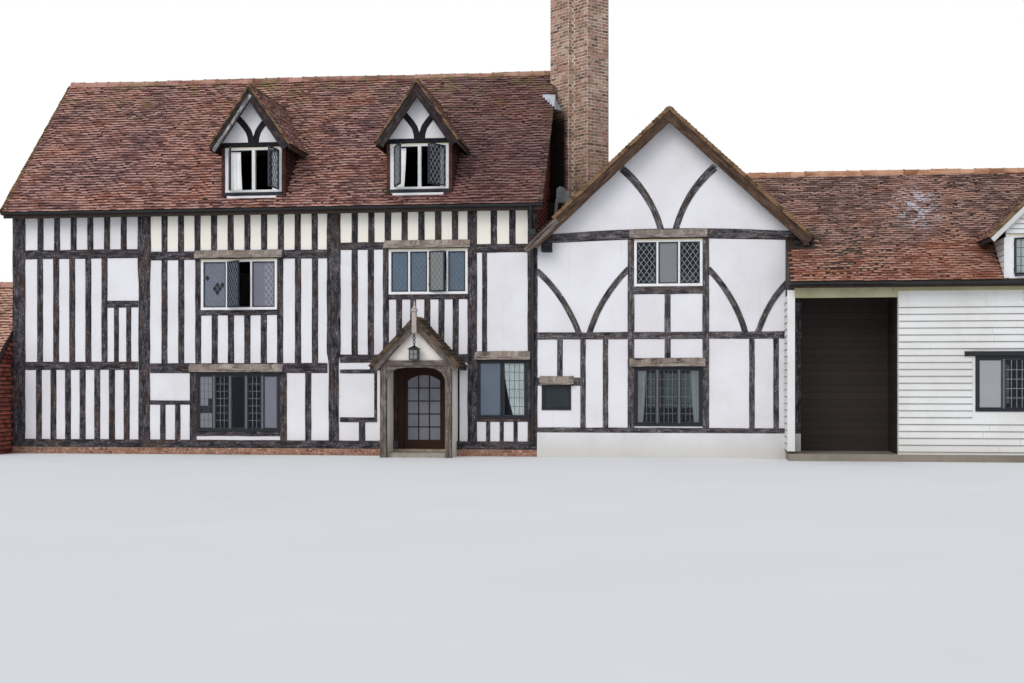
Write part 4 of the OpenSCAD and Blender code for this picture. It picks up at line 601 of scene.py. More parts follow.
def sway(a, s):
    """The old roof's hollows and waves, as a shift out of the slope and one along it."""
    out = 0.012 * math.sin(0.55 * a + 0.4 * s) + 0.007 * math.sin(1.3 * a - 0.9 * s + 1) - 0.01
    along = 0.014 * math.sin(0.8 * a + 0.5 * s) + 0.015 * math.sin(2.3 * a + 1.1 * s)
    along += 0.014 * math.sin(5.1 * a - 2.3 * s + 2) + 0.01 * math.sin(9.3 * a + 3.1 * s)
    return out * 0.6, along


def tile_slope(roof, side, a0, a1, keep, seed, waves=1.0, gauge=GAUGE, bow=0.0):
    """Places of the tiles of one slope between a0 and a1 along the ridge; bow lifts its upper part towards a0."""
    chance = np.random.default_rng(seed)
    c, s = cos(roof.pitch), sin(roof.pitch)
    up, out, start = (0, -side * c, s), (0, side * s, c), (0, roof.ridge + side * roof.run, roof.top(roof.run))
    along = (1, 0, 0)
    if roof.axis == "y":
        up, out, start, along = ((y, x, z) for x, y, z in (up, out, start, along))
    up, out, start, along = map(Vector, (up, out, start, along))
    turn = axes(up.cross(out), up, out)
    slope = roof.run / c
    count = int(round((a1 - a0) / TILE_W))
    width = (a1 - a0) / count
    places = []
    for row in range(int((slope - 0.02) / gauge) + 1):
        for col in range(count + row % 2):
            a = a0 + (col + (0.5 if not row % 2 else 0)) * width
            size = width / TILE_W
            if row % 2 and col in (0, count):
                a += width * (0.25 if col == 0 else -0.25)
                size *= 0.5
            rise = row * gauge - TILE_HANG
            lift, shift = sway(a, rise)
            edge = max(0, min(1, rise / 0.4, (slope - rise) / 0.4)) if rise > 0 else 0
            point = start + along * a + up * (rise + shift * edge * waves + chance.normal(0, 0.006))
            point += out * (lift * waves * edge + chance.uniform(-0.002, 0.008) - 0.001)
            point += out * bow * max(0, rise / slope) ** 3 * (a1 - a) / (a1 - a0)
            if keep(point.x, point.y, point.z):
                length = 1 if rise + TILE_L < slope else max(0.3, (slope - rise) / TILE_L)
                places.append((point, turn, (size * chance.uniform(0.985, 1.0), length, 1)))
    return places


def both_slopes(roof, a0, a1, seeds, keep=lambda x, y, z: True, waves=1.0):
    return [q for side, seed in zip((-1, 1), seeds) for q in tile_slope(roof, side, a0, a1, keep, seed, waves)]


def in_shafts(x, y, grow=0.0):
    return any(abs(x - cx) + abs(y - cy) < (SHAFT_HALF + grow) * math.sqrt(2) for cx, cy in SHAFTS)


def keep_main(x, y, z):
    """All but the chimney's and the dormers' places."""
    if in_shafts(x, y, 0.03):
        return False
    for roof in DORMER_ROOFS if y < 0 else ():
        d = abs(x - roof.ridge)
        if d < 0.76 and y > DORMER_Y - 0.02 and z < roof.under(d) + 0.05:
            return False
        if d < 0.94 and y > DORMER_Y - 0.3 and roof.under(d) + 0.03 < z + 0.1 < roof.top(d) + 0.03:
            return False
    return True


def keep_wing(x, y, z):
    """Outside the main range, the chimney and the boarded range."""
    if 1.45 < x < 3.05 and -1.2 < y < 0.3 and z < 6.0 or in_shafts(x, y, 0.03):
        return False
    if x < MAIN_X1 + 0.02:
        return abs(y) > 3.34
    return not (x > 5.4 and -3.5 < y < 2.05) or z > RANGE_ROOF.top_at(x, y) - 0.02


def keep_range(x, y, z):
    """Outside the wing and the dormer."""
    if x < 6.98 if y < -3.6 else x < 7.56 and z < WING_ROOF.top_at(x, y) + 0.03:
        return False
    d = abs(x - RANGE_DORMER_X)
    return not (y < RANGE_MID and d < 0.73 and z < RANGE_DORMER_ROOF.under(d) + 0.05)


def keep_dormer(x, y, z):
    return z > MAIN_ROOF.top(y) - 0.01


def keep_range_dormer(x, y, z):
    return z > RANGE_ROOF.top_at(x, y) - 0.01


# The tiled length of each roof, past its walls' ends
MAIN_ENDS, WING_ENDS, RANGE_ENDS, RANGE_GAUGE = (-11.0, 1.66), (-3.57, 3.57), (4.5, 14.52), {"gauge": 0.088}
BOW = {"bow": 0.035}
for name, roof, side, ends, keep, clay, seed, uneven, more in (
        ("main_front_tiles", MAIN_ROOF, -1, MAIN_ENDS, keep_main, old_tiles, 1, 0.03, BOW),
        ("main_back_tiles", MAIN_ROOF, 1, MAIN_ENDS, keep_main, old_tiles, 2, 0.012, BOW),
        ("wing_left_tiles", WING_ROOF, -1, WING_ENDS, keep_wing, old_tiles, 3, 0.012, {}),
        ("wing_right_tiles", WING_ROOF, 1, WING_ENDS, keep_wing, old_tiles, 4, 0.012, {}),
        ("range_front_tiles", RANGE_ROOF, -1, RANGE_ENDS, keep_range, range_tiles, 5, 0.015, RANGE_GAUGE),
        ("range_back_tiles", RANGE_ROOF, 1, RANGE_ENDS, keep_range, range_tiles, 6, 0.012, RANGE_GAUGE)):
    lay(name, tile_slope(roof, side, *ends, keep, 10 + seed, **more), plain_tile, clay, "roof_tile", seed, uneven)
lay("outhouse_tiles", both_slopes(SHED_ROOF, -14.21, -10.925, (17, 18)), plain_tile, pale_tiles, "pale_tile", 7)
lay("dormer_tiles", [q for roof in DORMER_ROOFS for q in both_slopes(roof, DORMER_VERGE - 0.01, -0.3, (19, 21),
                                                                     keep_dormer, 0.3)],
    plain_tile, old_tiles, "roof_tile", 8)
lay("range_dormer_tiles", both_slopes(RANGE_DORMER_ROOF, RANGE_DORMER_Y - 0.17, RANGE_MID, (23, 25),
                                      keep_range_dormer, 0.3), plain_tile, range_tiles, "roof_tile", 9)
lay("porch_tiles", both_slopes(PORCH_ROOF, -4.17, -3.215, (27, 29), waves=0.3), plain_tile, porch_clay, "roof_tile", 10)


def half_round(radius, steps=8, length=0.33, thick=0.016):
    """A half round ridge tile with a thicker rim."""
    points, faces = [], []
    for x, r in ((0, radius + thick * 0.6), (0.05, radius + thick * 0.6), (0.052, radius), (length, radius)):
        for k in range(steps + 1):
            t = math.pi * (k / steps) * 1.1 - math.pi * 0.05
            points.append((x, r * math.cos(t), r * math.sin(t)))
    for ring in range(3):
        for k in range(steps):
            a = ring * (steps + 1) + k
            faces.append([a, a + steps + 1, a + steps + 2, a + 1])
    faces.append(list(range(steps + 1)))
    faces.append([3 * (steps + 1) + k for k in range(steps, -1, -1)])
    return points, faces


ridge_shape = small_shape("ridge_shape", *half_round(0.118))
small_ridge_shape = small_shape("small_ridge_shape", *half_round(0.075))


def ridge_row(roof, a0, a1, seed, length=0.32, drop=0.054, keep=None, bow=(0.0, 0.0)):
    """bow: how much higher the row lies at its two ends."""
    chance = np.random.default_rng(seed)
    count = max(1, int(round((a1 - a0) / length)))
    step = (a1 - a0) / count
    turn = axes((1, 0, 0), (0, 1, 0), (0, 0, 1)) if roof.axis == "x" else axes((0, 1, 0), (-1, 0, 0), (0, 0, 1))
    places = []
    for k in range(count):
        a = a0 + k * step
        z = roof.top(0) - drop + chance.uniform(-0.007, 0.007) + 0.007 * math.sin(a * 0.9)
        z += bow[0] + (bow[1] - bow[0]) * k / count
        point = Vector((a, roof.ridge, z) if roof.axis == "x" else (roof.ridge, a, z))
        if keep is None or keep(point):
            places.append((point, turn, (step / 0.33 * 1.02, 1, 1)))
    return places


main_ridge = ridge_row(MAIN_ROOF, -10.98, 1.63, 31, drop=0.07, keep=lambda q: not in_shafts(q.x + 0.16, q.y, 0.05),
                       bow=(0.05, -0.02))
shed_ridge = ridge_row(SHED_ROOF, -14.2, -10.93, 34)
small_ridges = [q for roof, y0, y1 in [(r, DORMER_VERGE + 0.04, -0.45) for r in DORMER_ROOFS] + [
    (RANGE_DORMER_ROOF, RANGE_DORMER_Y - 0.13, -2.35), (PORCH_ROOF, -4.1, -3.22)]
                for q in ridge_row(roof, y0, y1, 35, 0.3, 0.068)]
for name, places, shape, clay, seed, stood_for in (
        ("ridge_rows", main_ridge + shed_ridge, ridge_shape, ridge_clay, 12, ("ridge_tiles",)),
        ("range_ridge_row", ridge_row(RANGE_ROOF, 5.62, 14.5, 33, drop=0.06), ridge_shape, range_ridge_clay, 16, ()),
        ("wing_ridge_row", ridge_row(WING_ROOF, -3.57, 3.55, 32, drop=0.1), ridge_shape, verge_tiles, 17, ()),
        ("small_ridge_rows", small_ridges, small_ridge_shape, verge_tiles, 13, ())):
    lay(name, places, shape, clay, "ridge_tile", seed, 0.02, stood_for)


# Hung tiles on the gable over the wing, the dormers' cheeks and the outhouse
def hung_wall(origin, along, length, z0, z1, keep, seed):
    """A tiled wall: origin at its left foot as seen from outside, along points to the right."""
    chance = np.random.default_rng(seed)
    along, up = Vector(along), Vector((0, 0, 1))
    out = along.cross(up)
    turn = axes(along, up, out)
    places = []
    for row in range(int((z1 - z0) / GAUGE) + 1):
        for col in range(int(length / TILE_W) + 2):
            a = (col + 0.5 * (row % 2)) * TILE_W
            point = Vector(origin) + along * a + up * (z0 + row * GAUGE) + out * chance.uniform(0, 0.003)
            if -0.001 <= a <= length + 0.001 and keep(point):
                places.append((point, turn, (1, 1, 1)))
    return places


def keep_gable(q):
    return (WING_ROOF.top(MAIN_X1 - WING_RIDGE) - 0.1 < q.z < MAIN_ROOF.under(q.y) - 0.1
            and not (-1.2 < q.y < 0.3 and q.z < 6.0) and not (-0.85 < q.y < 0.2))


def keep_shed(q):
    return q.z < SHED_ROOF.under(q.y - SHED_MID) - 0.08


cheeks = []
for x, roof in zip(DORMER_XS, DORMER_ROOFS):
    for side, foot_y, length in ((-1, -1.9, 1.24), (1, DORMER_Y + 0.16, 1.22)):
        def keep_cheek(q, roof=roof):
            return MAIN_ROOF.top(q.y) - 0.12 < q.z < roof.under(CHEEK) - 0.02
        cheeks += hung_wall((x + side * CHEEK, foot_y, 0), (0, side, 0), length, 5.9, 7.2, keep_cheek, 42 + side)
shed_hung = []
for seed, foot, along, length, top in ((45, (SHED_X0, SHED_Y0, 0), (1, 0, 0), 3.2, 1.85),
                                       (46, (SHED_X1, SHED_Y1, 0), (-1, 0, 0), 3.2, 1.85),
                                       (47, (SHED_X0, SHED_Y1, 0), (0, -1, 0), 4.44, 4.0),
                                       (48, (SHED_X1, SHED_Y0, 0), (0, 1, 0), 0.9, 2.6)):
    shed_hung += hung_wall(foot, along, length, 0.12, top, keep_shed, seed)
lay("hung_tile_courses", hung_wall((MAIN_X1, -3.2, 0), (0, 1, 0), 6.4, 4.85, 9.0, keep_gable, 41), plain_tile,
    hung_tiles, "hung_tile", 14)
lay("cheek_tile_courses", cheeks, plain_tile, shaded_cheek_tiles, "hung_tile", 18)
lay("outhouse_hung_tiles", shed_hung, plain_tile, hung_tiles, "hung_tile", 15)


# ---------------------------------------------------------------- brickwork

brick_shape = small_shape(
    "brick",
    [(-0.5, 0, -0.5), (0.5, 0, -0.5), (0.5, 0, 0.5), (-0.5, 0, 0.5),
     (-0.5, -0.004, -0.5), (0.5, -0.004, -0.5), (0.5, -0.004, 0.5), (-0.5, -0.004, 0.5),
     (-0.47, -0.008, -0.43), (0.47, -0.008, -0.43), (0.47, -0.008, 0.43), (-0.47, -0.008, 0.43)],
    [[0, 1, 5, 4], [1, 2, 6, 5], [2, 3, 7, 6], [3, 0, 4, 7], [4, 5, 9, 8], [5, 6, 10, 9], [6, 7, 11, 10],
     [7, 4, 8, 11], [8, 9, 10, 11]])
COURSE, BRICK_L = 0.0765, 0.225


def brick_face(origin, along, length, z0, z1, keep=None, seed=1, course=COURSE, joint=0.01):
    """Bricks on a wall face; along points to the right as seen from outside."""
    chance = np.random.default_rng(seed)
    along, up = Vector(along), Vector((0, 0, 1))
    turn = axes(along, up.cross(along), up)
    count = max(1, round(length / BRICK_L))
    places = []
    for row in range(int(round((z1 - z0) / course))):
        edges = [0.0] + [length / count * (k + (0.5 if row % 2 else 1)) for k in range(count)]
        edges = [e for e in edges if e < length - 0.01] + [length]
        for a, b in zip(edges, edges[1:]):
            point = Vector(origin) + along * ((a + b) / 2) + up * (z0 + (row + 0.5) * course)
            if keep is None or keep(point):
                places.append((point, turn, (b - a - joint, chance.uniform(0.6, 1.2), course - joint)))
    return places


def shaft_bricks(half, z0, z1, seed, course=COURSE):
    """The faces of both shafts, which are square, stand diagonally and run into each other."""
    places = []
    for (x, y), other in zip(SHAFTS, SHAFTS[::-1]):
        def keep(q, other=other):
            return abs(q.x - other[0]) + abs(q.y - other[1]) > half * math.sqrt(2) - 0.03

        for k in range(4):
            along = Vector((cos(45 + 90 * k), sin(45 + 90 * k), 0))
            start = Vector((x, y, 0)) + Vector((along.y, -along.x, 0)) * half - along * half
            places += brick_face(start, along, 2 * half, z0, z1, keep, seed + k, course, 0.017)
    return places


def above_roofs(q):
    if q.x > MAIN_X1 and q.z <= WING_ROOF.top(q.x - WING_RIDGE) - 0.1:
        return False
    return q.x > 1.66 or q.z > MAIN_ROOF.top(q.y) - 0.1 or q.x > MAIN_X1 and q.z < MAIN_ROOF.under(q.y)


# The chimney: its two shafts, the square base on the wing's roof, and a cap whose courses step out and in
BASE_TOP, CAP_Z, CAP_COURSE = 5.95, 11.7, 0.076
stack = [b for b in shaft_bricks(SHAFT_HALF, BASE_TOP, CAP_Z, 51) if above_roofs(b[0])]
for start, along, length in (((1.5, -1.1552, 0), (1, 0, 0), 1.5066), ((3.0066, -1.1552, 0), (0, 1, 0), 1.406),
                             ((3.0066, 0.2508, 0), (-1, 0, 0), 1.5066)):
    stack += brick_face(start, along, length, 4.88, BASE_TOP, above_roofs, 55)
for course, grow in enumerate((0.03, 0.06, 0.09, 0.12, 0.09, 0.09, 0.03)):
    z = CAP_Z + course * CAP_COURSE
    stack += shaft_bricks(SHAFT_HALF + grow, z, z + CAP_COURSE, 60 + course, CAP_COURSE)
lay("chimney_bricks", stack, brick_shape, chimney_brick, "chimney_brick", 21, 0.004)

plinth = []
for start, along, length in (((-10.925, -3.245, 0), (1, 0, 0), 9.02), ((-0.3, -3.245, 0), (1, 0, 0), 1.8),
                             ((1.5, 3.245, 0), (-1, 0, 0), 12.42), ((-10.925, 3.245, 0), (0, -1, 0), 2.9)):
    plinth += brick_face(start, along, length, 0.0, PLINTH_TOP, None, 71, 0.075)
lay("plinth_bricks", plinth, brick_shape, plinth_brick, "plinth_brick", 22, 0.004)


# ---------------------------------------------------------------- framed walls

# A wall's own axes run to the right as seen from outside, inwards from its face, and up
def faces_front(plane, deep=1.0):
    return lambda x, y, z: (x, plane + y * deep, z)


def faces_back(plane):
    return lambda x, y, z: (-x, plane - y, z)


def faces_left(plane):
    return lambda x, y, z: (plane + y, -x, z)


def on_range_end(x, y, z):
    return (RANGE_X1 - y, x, z)


def plain(x, y, z):
    return (x, y, z)


on_front, on_back, on_left = faces_front(FRONT_Y), faces_back(BACK_Y), faces_left(MAIN_X0)
on_range_front, on_range_back = faces_front(RANGE_Y0), faces_back(RANGE_Y1)
on_dormer, on_range_dormer = faces_front(DORMER_Y + PROUD), faces_front(RANGE_DORMER_Y + PROUD)

STUD_W, POST_W = 0.138, 0.3
SILL_TOP, PLATE_Z, PLATE_TOP = 0.33, 5.5145, 5.8245
DEEP = 0.105


class Timbers:
    """The timbers of one wall. limit says how high one may stand at x with a width w."""

    def __init__(self, place, seed, limit=None):
        self.heap, self.place, self.limit = Heap(seed), place, limit

    def lay(self, path, width, rough, rank):
        self.heap.beam(self.place, path, width, -PROUD - rank * 0.0035, DEEP, rough)

    def bar(self, x0, x1, z0, z1, rough=0.01, rank=1):
        if z1 - z0 > x1 - x0:
            self.upright((x0 + x1) / 2, z0, z1, x1 - x0, rough)
        else:
            z = (z0 + z1) / 2
            self.lay([(x0, z), (x1, z)], z1 - z0, rough, rank)

    def upright(self, x, z0, z1, w=STUD_W, rough=0.009, rank=0):
        if self.limit:
            z1 = min(z1, self.limit(x, w))
        if z1 > z0 + 0.05:
            self.lay([(x, z0), (x, z1)], w, rough, rank)

    def studs(self, x0, x1, z0, z1, w=STUD_W, pitch=0.4):
        n = round((x1 - x0) / pitch)
        for i in range(n + 1):
            self.upright((x0 + x1) / 2 if n < 1 else x0 + i * (x1 - x0) / n, z0, z1, w)

    def jowled(self, x, z0, z1, foot, head, jowl_z):
        """A post that widens from foot to head over a quarter of a metre."""
        def width(s):
            return foot + (head - foot) * min(max((z0 + s - jowl_z) / 0.25, 0), 1)
        self.lay([(x, z0), (x, z1)], width, 0.016, 2)

    def brace(self, p, q, sag, w):
        dx, dz = q[0] - p[0], q[1] - p[1]
        chord = math.hypot(dx, dz)
        nx, nz = -dz / chord, dx / chord
        path = []
        for i in range(13):
            t = i / 12
            s = 4 * sag * t * (1 - t)
            path.append((p[0] + dx * t + nx * s, p[1] + dz * t + nz * s))
        self.lay(path, w, 0.01, 0.5)


# Windows: (middle, sill, head, width, lights, open casements as {light: (angle, hinge side)})
FRAME_W, MULLION_W, CASEMENT_W, FRAME_D, CASEMENT_D = 0.06, 0.045, 0.028, 0.08, 0.036
LEFT_MID, MIDDLE_MID, RIGHT_MID, END_MID = (1.96, 2.14), (1.88, 2.1), (2.11, 2.29), (2.17, 2.33)
LEFT_UP, MIDDLE_UP, RIGHT_UP, END_UP = (4.56, 4.76), (4.5, 4.69), (4.68, 4.84), (4.58, 4.76)
window_1 = (-5.41, 3.33, 4.5, 1.82, 3, {1: (44, 0)})
window_2 = (-0.98, 3.65, 4.68, 1.82, 4, {2: (20, 0)})
window_3 = (-5.43, 0.53, 1.88, 2.0, 5, {})
window_4 = (0.71, 0.84, 2.17, 1.16, 2, {})
wing_window_1 = (4.41, 3.78, 4.82, 1.504, 3, {})
wing_window_2 = (4.41, 0.69, 2.0, 1.504, 3, {})
wing_window_3 = (1.93, 1.04, 1.59, 0.66, 1, {})


def left_of(w):
    return w[0] - w[3] / 2


def right_of(w):
    return w[0] + w[3] / 2


def beside(t, w, z0, z1, width):
    t.bar(left_of(w) - width, left_of(w), z0, z1)
    t.bar(right_of(w), right_of(w) + width, z0, z1)


def rails(t, x0, x1, *rows):
    for row in rows:
        t.bar(x0, x1, *row)


def front_timbers():
    t = Timbers(on_front, 101)
    t.bar(CORNER_X, MAIN_X1, PLATE_Z, PLATE_TOP, 0.004, 1)
    rails(t, CORNER_X, -1.68, (PLINTH_TOP, SILL_TOP))
    rails(t, -0.52, MAIN_X1, (PLINTH_TOP, SILL_TOP))
    t.jowled(POST_1, SILL_TOP, PLATE_Z, 0.26, 0.3, 4.0)
    t.jowled(POST_2, SILL_TOP, PLATE_Z, 0.22, 0.3, 2.1)
    t.upright(POST_3, SILL_TOP, PLATE_Z, 0.2, 0.014, 2)
    t.upright((END_POST_X + MAIN_X1) / 2, SILL_TOP, PLATE_Z, 0.21, 0.012, 2)
    # Left bay
    x1 = POST_1 - 0.15
    rails(t, CORNER_X, x1, LEFT_MID, LEFT_UP)
    t.studs(CORNER_X + 0.385, x1 - 0.35, LEFT_UP[1], PLATE_Z)
    last_x = x1 - 0.822
    t.studs(CORNER_X + 0.375, last_x, LEFT_MID[1], LEFT_UP[0])
    t.bar(last_x + STUD_W / 2, x1, 3.41, 3.56)
    t.studs(x1 - 0.53, x1 - 0.23, LEFT_MID[1], 3.41, 0.112, 0.3)
    t.studs(CORNER_X + 0.345, x1 - 0.28, SILL_TOP, LEFT_MID[0], STUD_W, 0.36)
    # Middle bay
    x0, x1 = POST_1 + 0.15, POST_2 - 0.15
    rails(t, x0, x1, MIDDLE_MID, MIDDLE_UP)
    t.studs(x0 + 0.34, x1 - 0.298, MIDDLE_UP[1], PLATE_Z)
    beside(t, window_1, MIDDLE_MID[1], MIDDLE_UP[0], 0.135)
    t.studs(x0 + 0.34, left_of(window_1) - 0.475, MIDDLE_MID[1], MIDDLE_UP[0])
    t.studs(right_of(window_1) + 0.49, x1 - 0.29, MIDDLE_MID[1], MIDDLE_UP[0])
    t.bar(left_of(window_1), right_of(window_1), 3.21, 3.33)
    t.studs(left_of(window_1) + 0.33, right_of(window_1) - 0.32, MIDDLE_MID[1], 3.21)
    beside(t, window_3, SILL_TOP, MIDDLE_MID[0], 0.155)
    t.bar(left_of(window_3), right_of(window_3), 0.43, 0.53)
    t.bar(x0, left_of(window_3) - 0.155, 1.15, 1.24)
    t.studs(x0 + 0.3, left_of(window_3) - 0.45, SILL_TOP, 1.15, 0.122, 0.36)
    t.upright(x1 - 0.45, SILL_TOP, MIDDLE_MID[0])
    # Right bay
    x0, x1 = POST_2 + 0.15, POST_3 - 0.1
    rails(t, x0, x1, RIGHT_MID, RIGHT_UP)
    t.studs(x0 + 0.34, x1 - 0.294, RIGHT_UP[1], PLATE_Z)
    t.studs(x0 + 0.34, left_of(window_2) - 0.415, RIGHT_MID[1], RIGHT_UP[0])
    t.bar(left_of(window_2) - 0.13, left_of(window_2), RIGHT_MID[1], RIGHT_UP[0])
    t.bar(left_of(window_2), x1, 3.54, 3.65)
    t.studs(left_of(window_2) + 0.24, x1 - 0.28, RIGHT_MID[1], 3.54, 0.13, 0.325)
    side_x = DOOR_X - 1.06
    t.bar(x0, side_x, 1.87, 1.95)
    t.bar(x0, side_x, 0.76, 0.86)
    t.bar(side_x - 0.065, side_x, 0.86, 1.87, 0.004)
    t.upright((x0 + side_x) / 2 + 0.08, SILL_TOP, 0.76)
    # End bay
    x0, x1 = POST_3 + 0.1, END_POST_X
    rails(t, x0, x1, END_MID, END_UP)
    t.studs(x0 + 0.39, x1 - 0.35, END_UP[1], PLATE_Z)
    t.upright(x0 + 0.18, END_MID[1], END_UP[0], 0.105)
    t.bar(x0, x1, 0.78, 0.84)
    t.studs(x0 + 0.26, x1 - 0.28, SILL_TOP, 0.78, 0.085, 0.31)
    piece("front_timbers", t.heap, dark_oak, "dark_oak", replaces=("main_front_frame",))
    jambs = Timbers(on_front, 107)
    jambs.bar(-1.78, -1.68, SILL_TOP, RIGHT_MID[0], 0.004)
    jambs.bar(-0.52, -0.42, SILL_TOP, RIGHT_MID[0], 0.004)
    piece("doorway_jambs", jambs.heap, door_oak, "stained_oak")
    strip = Timbers(on_front, 108)
    strip.bar(-0.3, -0.262, SILL_TOP, RIGHT_MID[0], 0.003)
    piece("strip_beside_porch", strip.heap, black_oak, "dark_oak")


BACK_BAYS = [(-POST_3, -POST_2), (-POST_2, -POST_1), (-POST_1, -CORNER_X)]
back_windows = [((a + b) / 2, 3.45 if upper else 0.8, LEFT_UP[0] if upper else LEFT_MID[0], 1.5, 3, {})
                for a, b in BACK_BAYS for upper in (True, False)]


def plain_studs(t, x0, x1, z0, z1, windows):
    n = int((x1 - x0) / 0.4)
    for i in range(1, n):
        x, top = x0 + i * (x1 - x0) / n, z1
        for w in windows:
            if abs(x - w[0]) < (w[3] + STUD_W) / 2 and z0 < w[1] < z1:
                top = min(top, w[1] - 0.12)
        t.upright(x, z0, top)


def back_timbers():
    t = Timbers(on_back, 102)
    x0, x1 = -MAIN_X1, -CORNER_X
    rails(t, x0, x1, (PLINTH_TOP, SILL_TOP), LEFT_MID, LEFT_UP)
    t.bar(x0, x1, PLATE_Z, PLATE_TOP, 0.004)
    posts = [x0 + 0.15, -POST_3, -POST_2, -POST_1, x1 + 0.15]
    for a, b in zip(posts, posts[1:]):
        t.upright(a, SILL_TOP, PLATE_Z, POST_W, 0.014, 2)
        for z0, z1 in ((SILL_TOP, LEFT_MID[0]), (LEFT_MID[1], LEFT_UP[0]), (LEFT_UP[1], PLATE_Z)):
            plain_studs(t, a + 0.15, b - 0.15, z0, z1, back_windows)
    for w in back_windows:
        beside(t, w, SILL_TOP if w[1] < 2 else LEFT_MID[1], w[2], STUD_W)
        t.bar(left_of(w), right_of(w), w[1] - 0.12, w[1])
    piece("back_timbers", t.heap, dark_oak, "dark_oak", replaces=("main_back_frame",))


left_window = (0.0, 3.45, LEFT_UP[0], 1.3, 2, {})


def left_timbers():
    t = Timbers(on_left, 103, lambda x, w: MAIN_ROOF.under(abs(x) + w / 2))
    g, rail, peak = 3.02, 5.94, 12
    rails(t, -g, g, (PLINTH_TOP, SILL_TOP), LEFT_MID, LEFT_UP, (rail, rail + 0.2))
    for s in (-1, 1):
        t.upright(s * 1.2, LEFT_MID[1], rail, 0.24, 0.014, 2)
    t.upright(0, rail + 0.2, peak, 0.24, 0.014, 2)
    for z0, z1, windows in ((SILL_TOP, LEFT_MID[0], []), (LEFT_MID[1], LEFT_UP[0], [left_window]),
                            (LEFT_UP[1], rail, []), (rail + 0.2, peak, [])):
        plain_studs(t, -g, g, z0, z1, windows)
    beside(t, left_window, LEFT_MID[1], left_window[2], STUD_W)
    t.bar(-0.65, 0.65, 3.33, 3.45)
    piece("left_gable_timbers", t.heap, dark_oak, "dark_oak", replaces=("main_left_frame",))


def corner_timbers():
    heap = Heap(104)
    x = (MAIN_X0 - PROUD + CORNER_X) / 2
    for place in (on_front, lambda x, y, z: (x, BACK_Y - y, z)):
        heap.beam(place, [(x, PLINTH_TOP), (x, 5.82)], POST_W, -PROUD - 0.007, 0.18, 0.014)
    piece("corner_timbers", heap, dark_oak, "dark_oak", replaces=("corner_posts",))


# The wing's rails: its sill, the middle one, and the ends of the tie beam
WING_SILL, WING_MIDRAIL, WING_TIE = (0.54, 0.65), (2.62, 2.77), 4.85


def wing_front_timbers():
    t = Timbers(on_front, 105, lambda x, w: WING_ROOF.under(x - WING_RIDGE))
    left, right = MAIN_X1, WING_X1 - 0.116
    p1, p2, half = MAIN_X1 + 2.09, WING_X1 - 2.05, 0.068
    low, top = WING_SILL[1], WING_MIDRAIL[0]
    shares = [i / 14 for i in range(15)]
    t.lay([(left + (WING_X1 - left) * u, WING_TIE + 0.12 * 4 * u * (1 - u) * 0.75) for u in shares], 0.185, 0.012, 2)
    t.bar(left, WING_X1, *WING_SILL)
    t.upright(right + 0.058, low, 4.8, 0.116)
    t.bar(left, right, *WING_MIDRAIL)
    for x in (p1, p2):
        t.upright(x, low, 4.82, 0.136, 0.01, 1)
    a, b = p1 - half, p2 + half
    t.bar(a, b, 3.615, 3.77)
    t.upright(4.395, 2.17, 3.615, 0.126)
    t.bar(a, b, 2.0, 2.17)
    t.bar(left, left + 0.97, 1.59, 1.76)
    t.upright(left + 0.51, 1.76, top, 0.116)
    for x in (left + 1.025, left + 1.525, p2 + 1.0, p2 + 1.52):
        t.upright(x, low, top, 0.112)
    low, high = 2.73, 4.16
    for p, q in (((left + 0.94, low), (left - 0.01, high)), ((a + 0.02, high + 0.02), (left + 1.16, low)),
                 ((p2 + 0.86, low), (b - 0.02, high)), ((right + 0.02, high - 0.13), (right - 0.81, low))):
        t.brace(p, q, -0.11, 0.12)
    t.brace((WING_MID - 0.13, 5.0), (WING_MID - 1.01, 6.38), -0.13, 0.13)
    t.brace((WING_MID + 1.04, 6.37), (WING_MID + 0.17, 5.0), -0.13, 0.13)
    piece("wing_front_timbers", t.heap, wing_oak, "wing_oak", replaces=("wing_front_frame",))


wing_back_windows = [(-WING_MID, 3.6, 4.7, 1.4, 3, {}), (-WING_MID, 0.9, 2.0, 1.4, 3, {})]


def wing_back_timbers():
    t = Timbers(on_back, 106, lambda x, w: WING_ROOF.under(-x - WING_RIDGE))
    x0, x1, m = -WING_X1, -MAIN_X1, -WING_MID
    low, top, plate, plate_top = WING_SILL[1], WING_MIDRAIL, 4.76, 4.94
    rails(t, x0, x1, WING_SILL, WING_MIDRAIL, (plate, plate_top))
    for x in (x0 + 0.09, m - 0.9, m + 0.9, x1 - 0.09):
        t.upright(x, low, plate, 0.18, 0.012, 1)
    for w in wing_back_windows:
        beside(t, w, low if w[1] < 2 else top[1], w[2], STUD_W)
        t.bar(left_of(w), right_of(w), w[1] - 0.12, w[1])
        t.bar(left_of(w) - STUD_W, right_of(w) + STUD_W, w[2], w[2] + 0.06)
    t.upright(-WING_RIDGE, plate_top, 12, 0.18, 0.012, 1)
    for x in (m - 1.9, m + 1.9):
        t.upright(x, top[1], plate)
        t.upright(x, low, top[0])
    piece("wing_back_timbers", t.heap, wing_oak, "wing_oak", replaces=("wing_back_frame",))


for build in (front_timbers, back_timbers, left_timbers, corner_timbers, wing_front_timbers, wing_back_timbers):
    build()


# ---------------------------------------------------------------- windows

# How a light looks: the pane's tint, which picks its painted reflection, the leads' pattern and their tint
PALE, LILAC, TEAL, SLATE, DARK = 0.95, 0.72, 0.5, 0.3, 0.05
PLAIN, DIAMONDS, HALF, SQUARES = "plain", "diamonds", "half", "squares"
LEAD_HALF, HINGE_SHIFT = 0.0045, 0.02


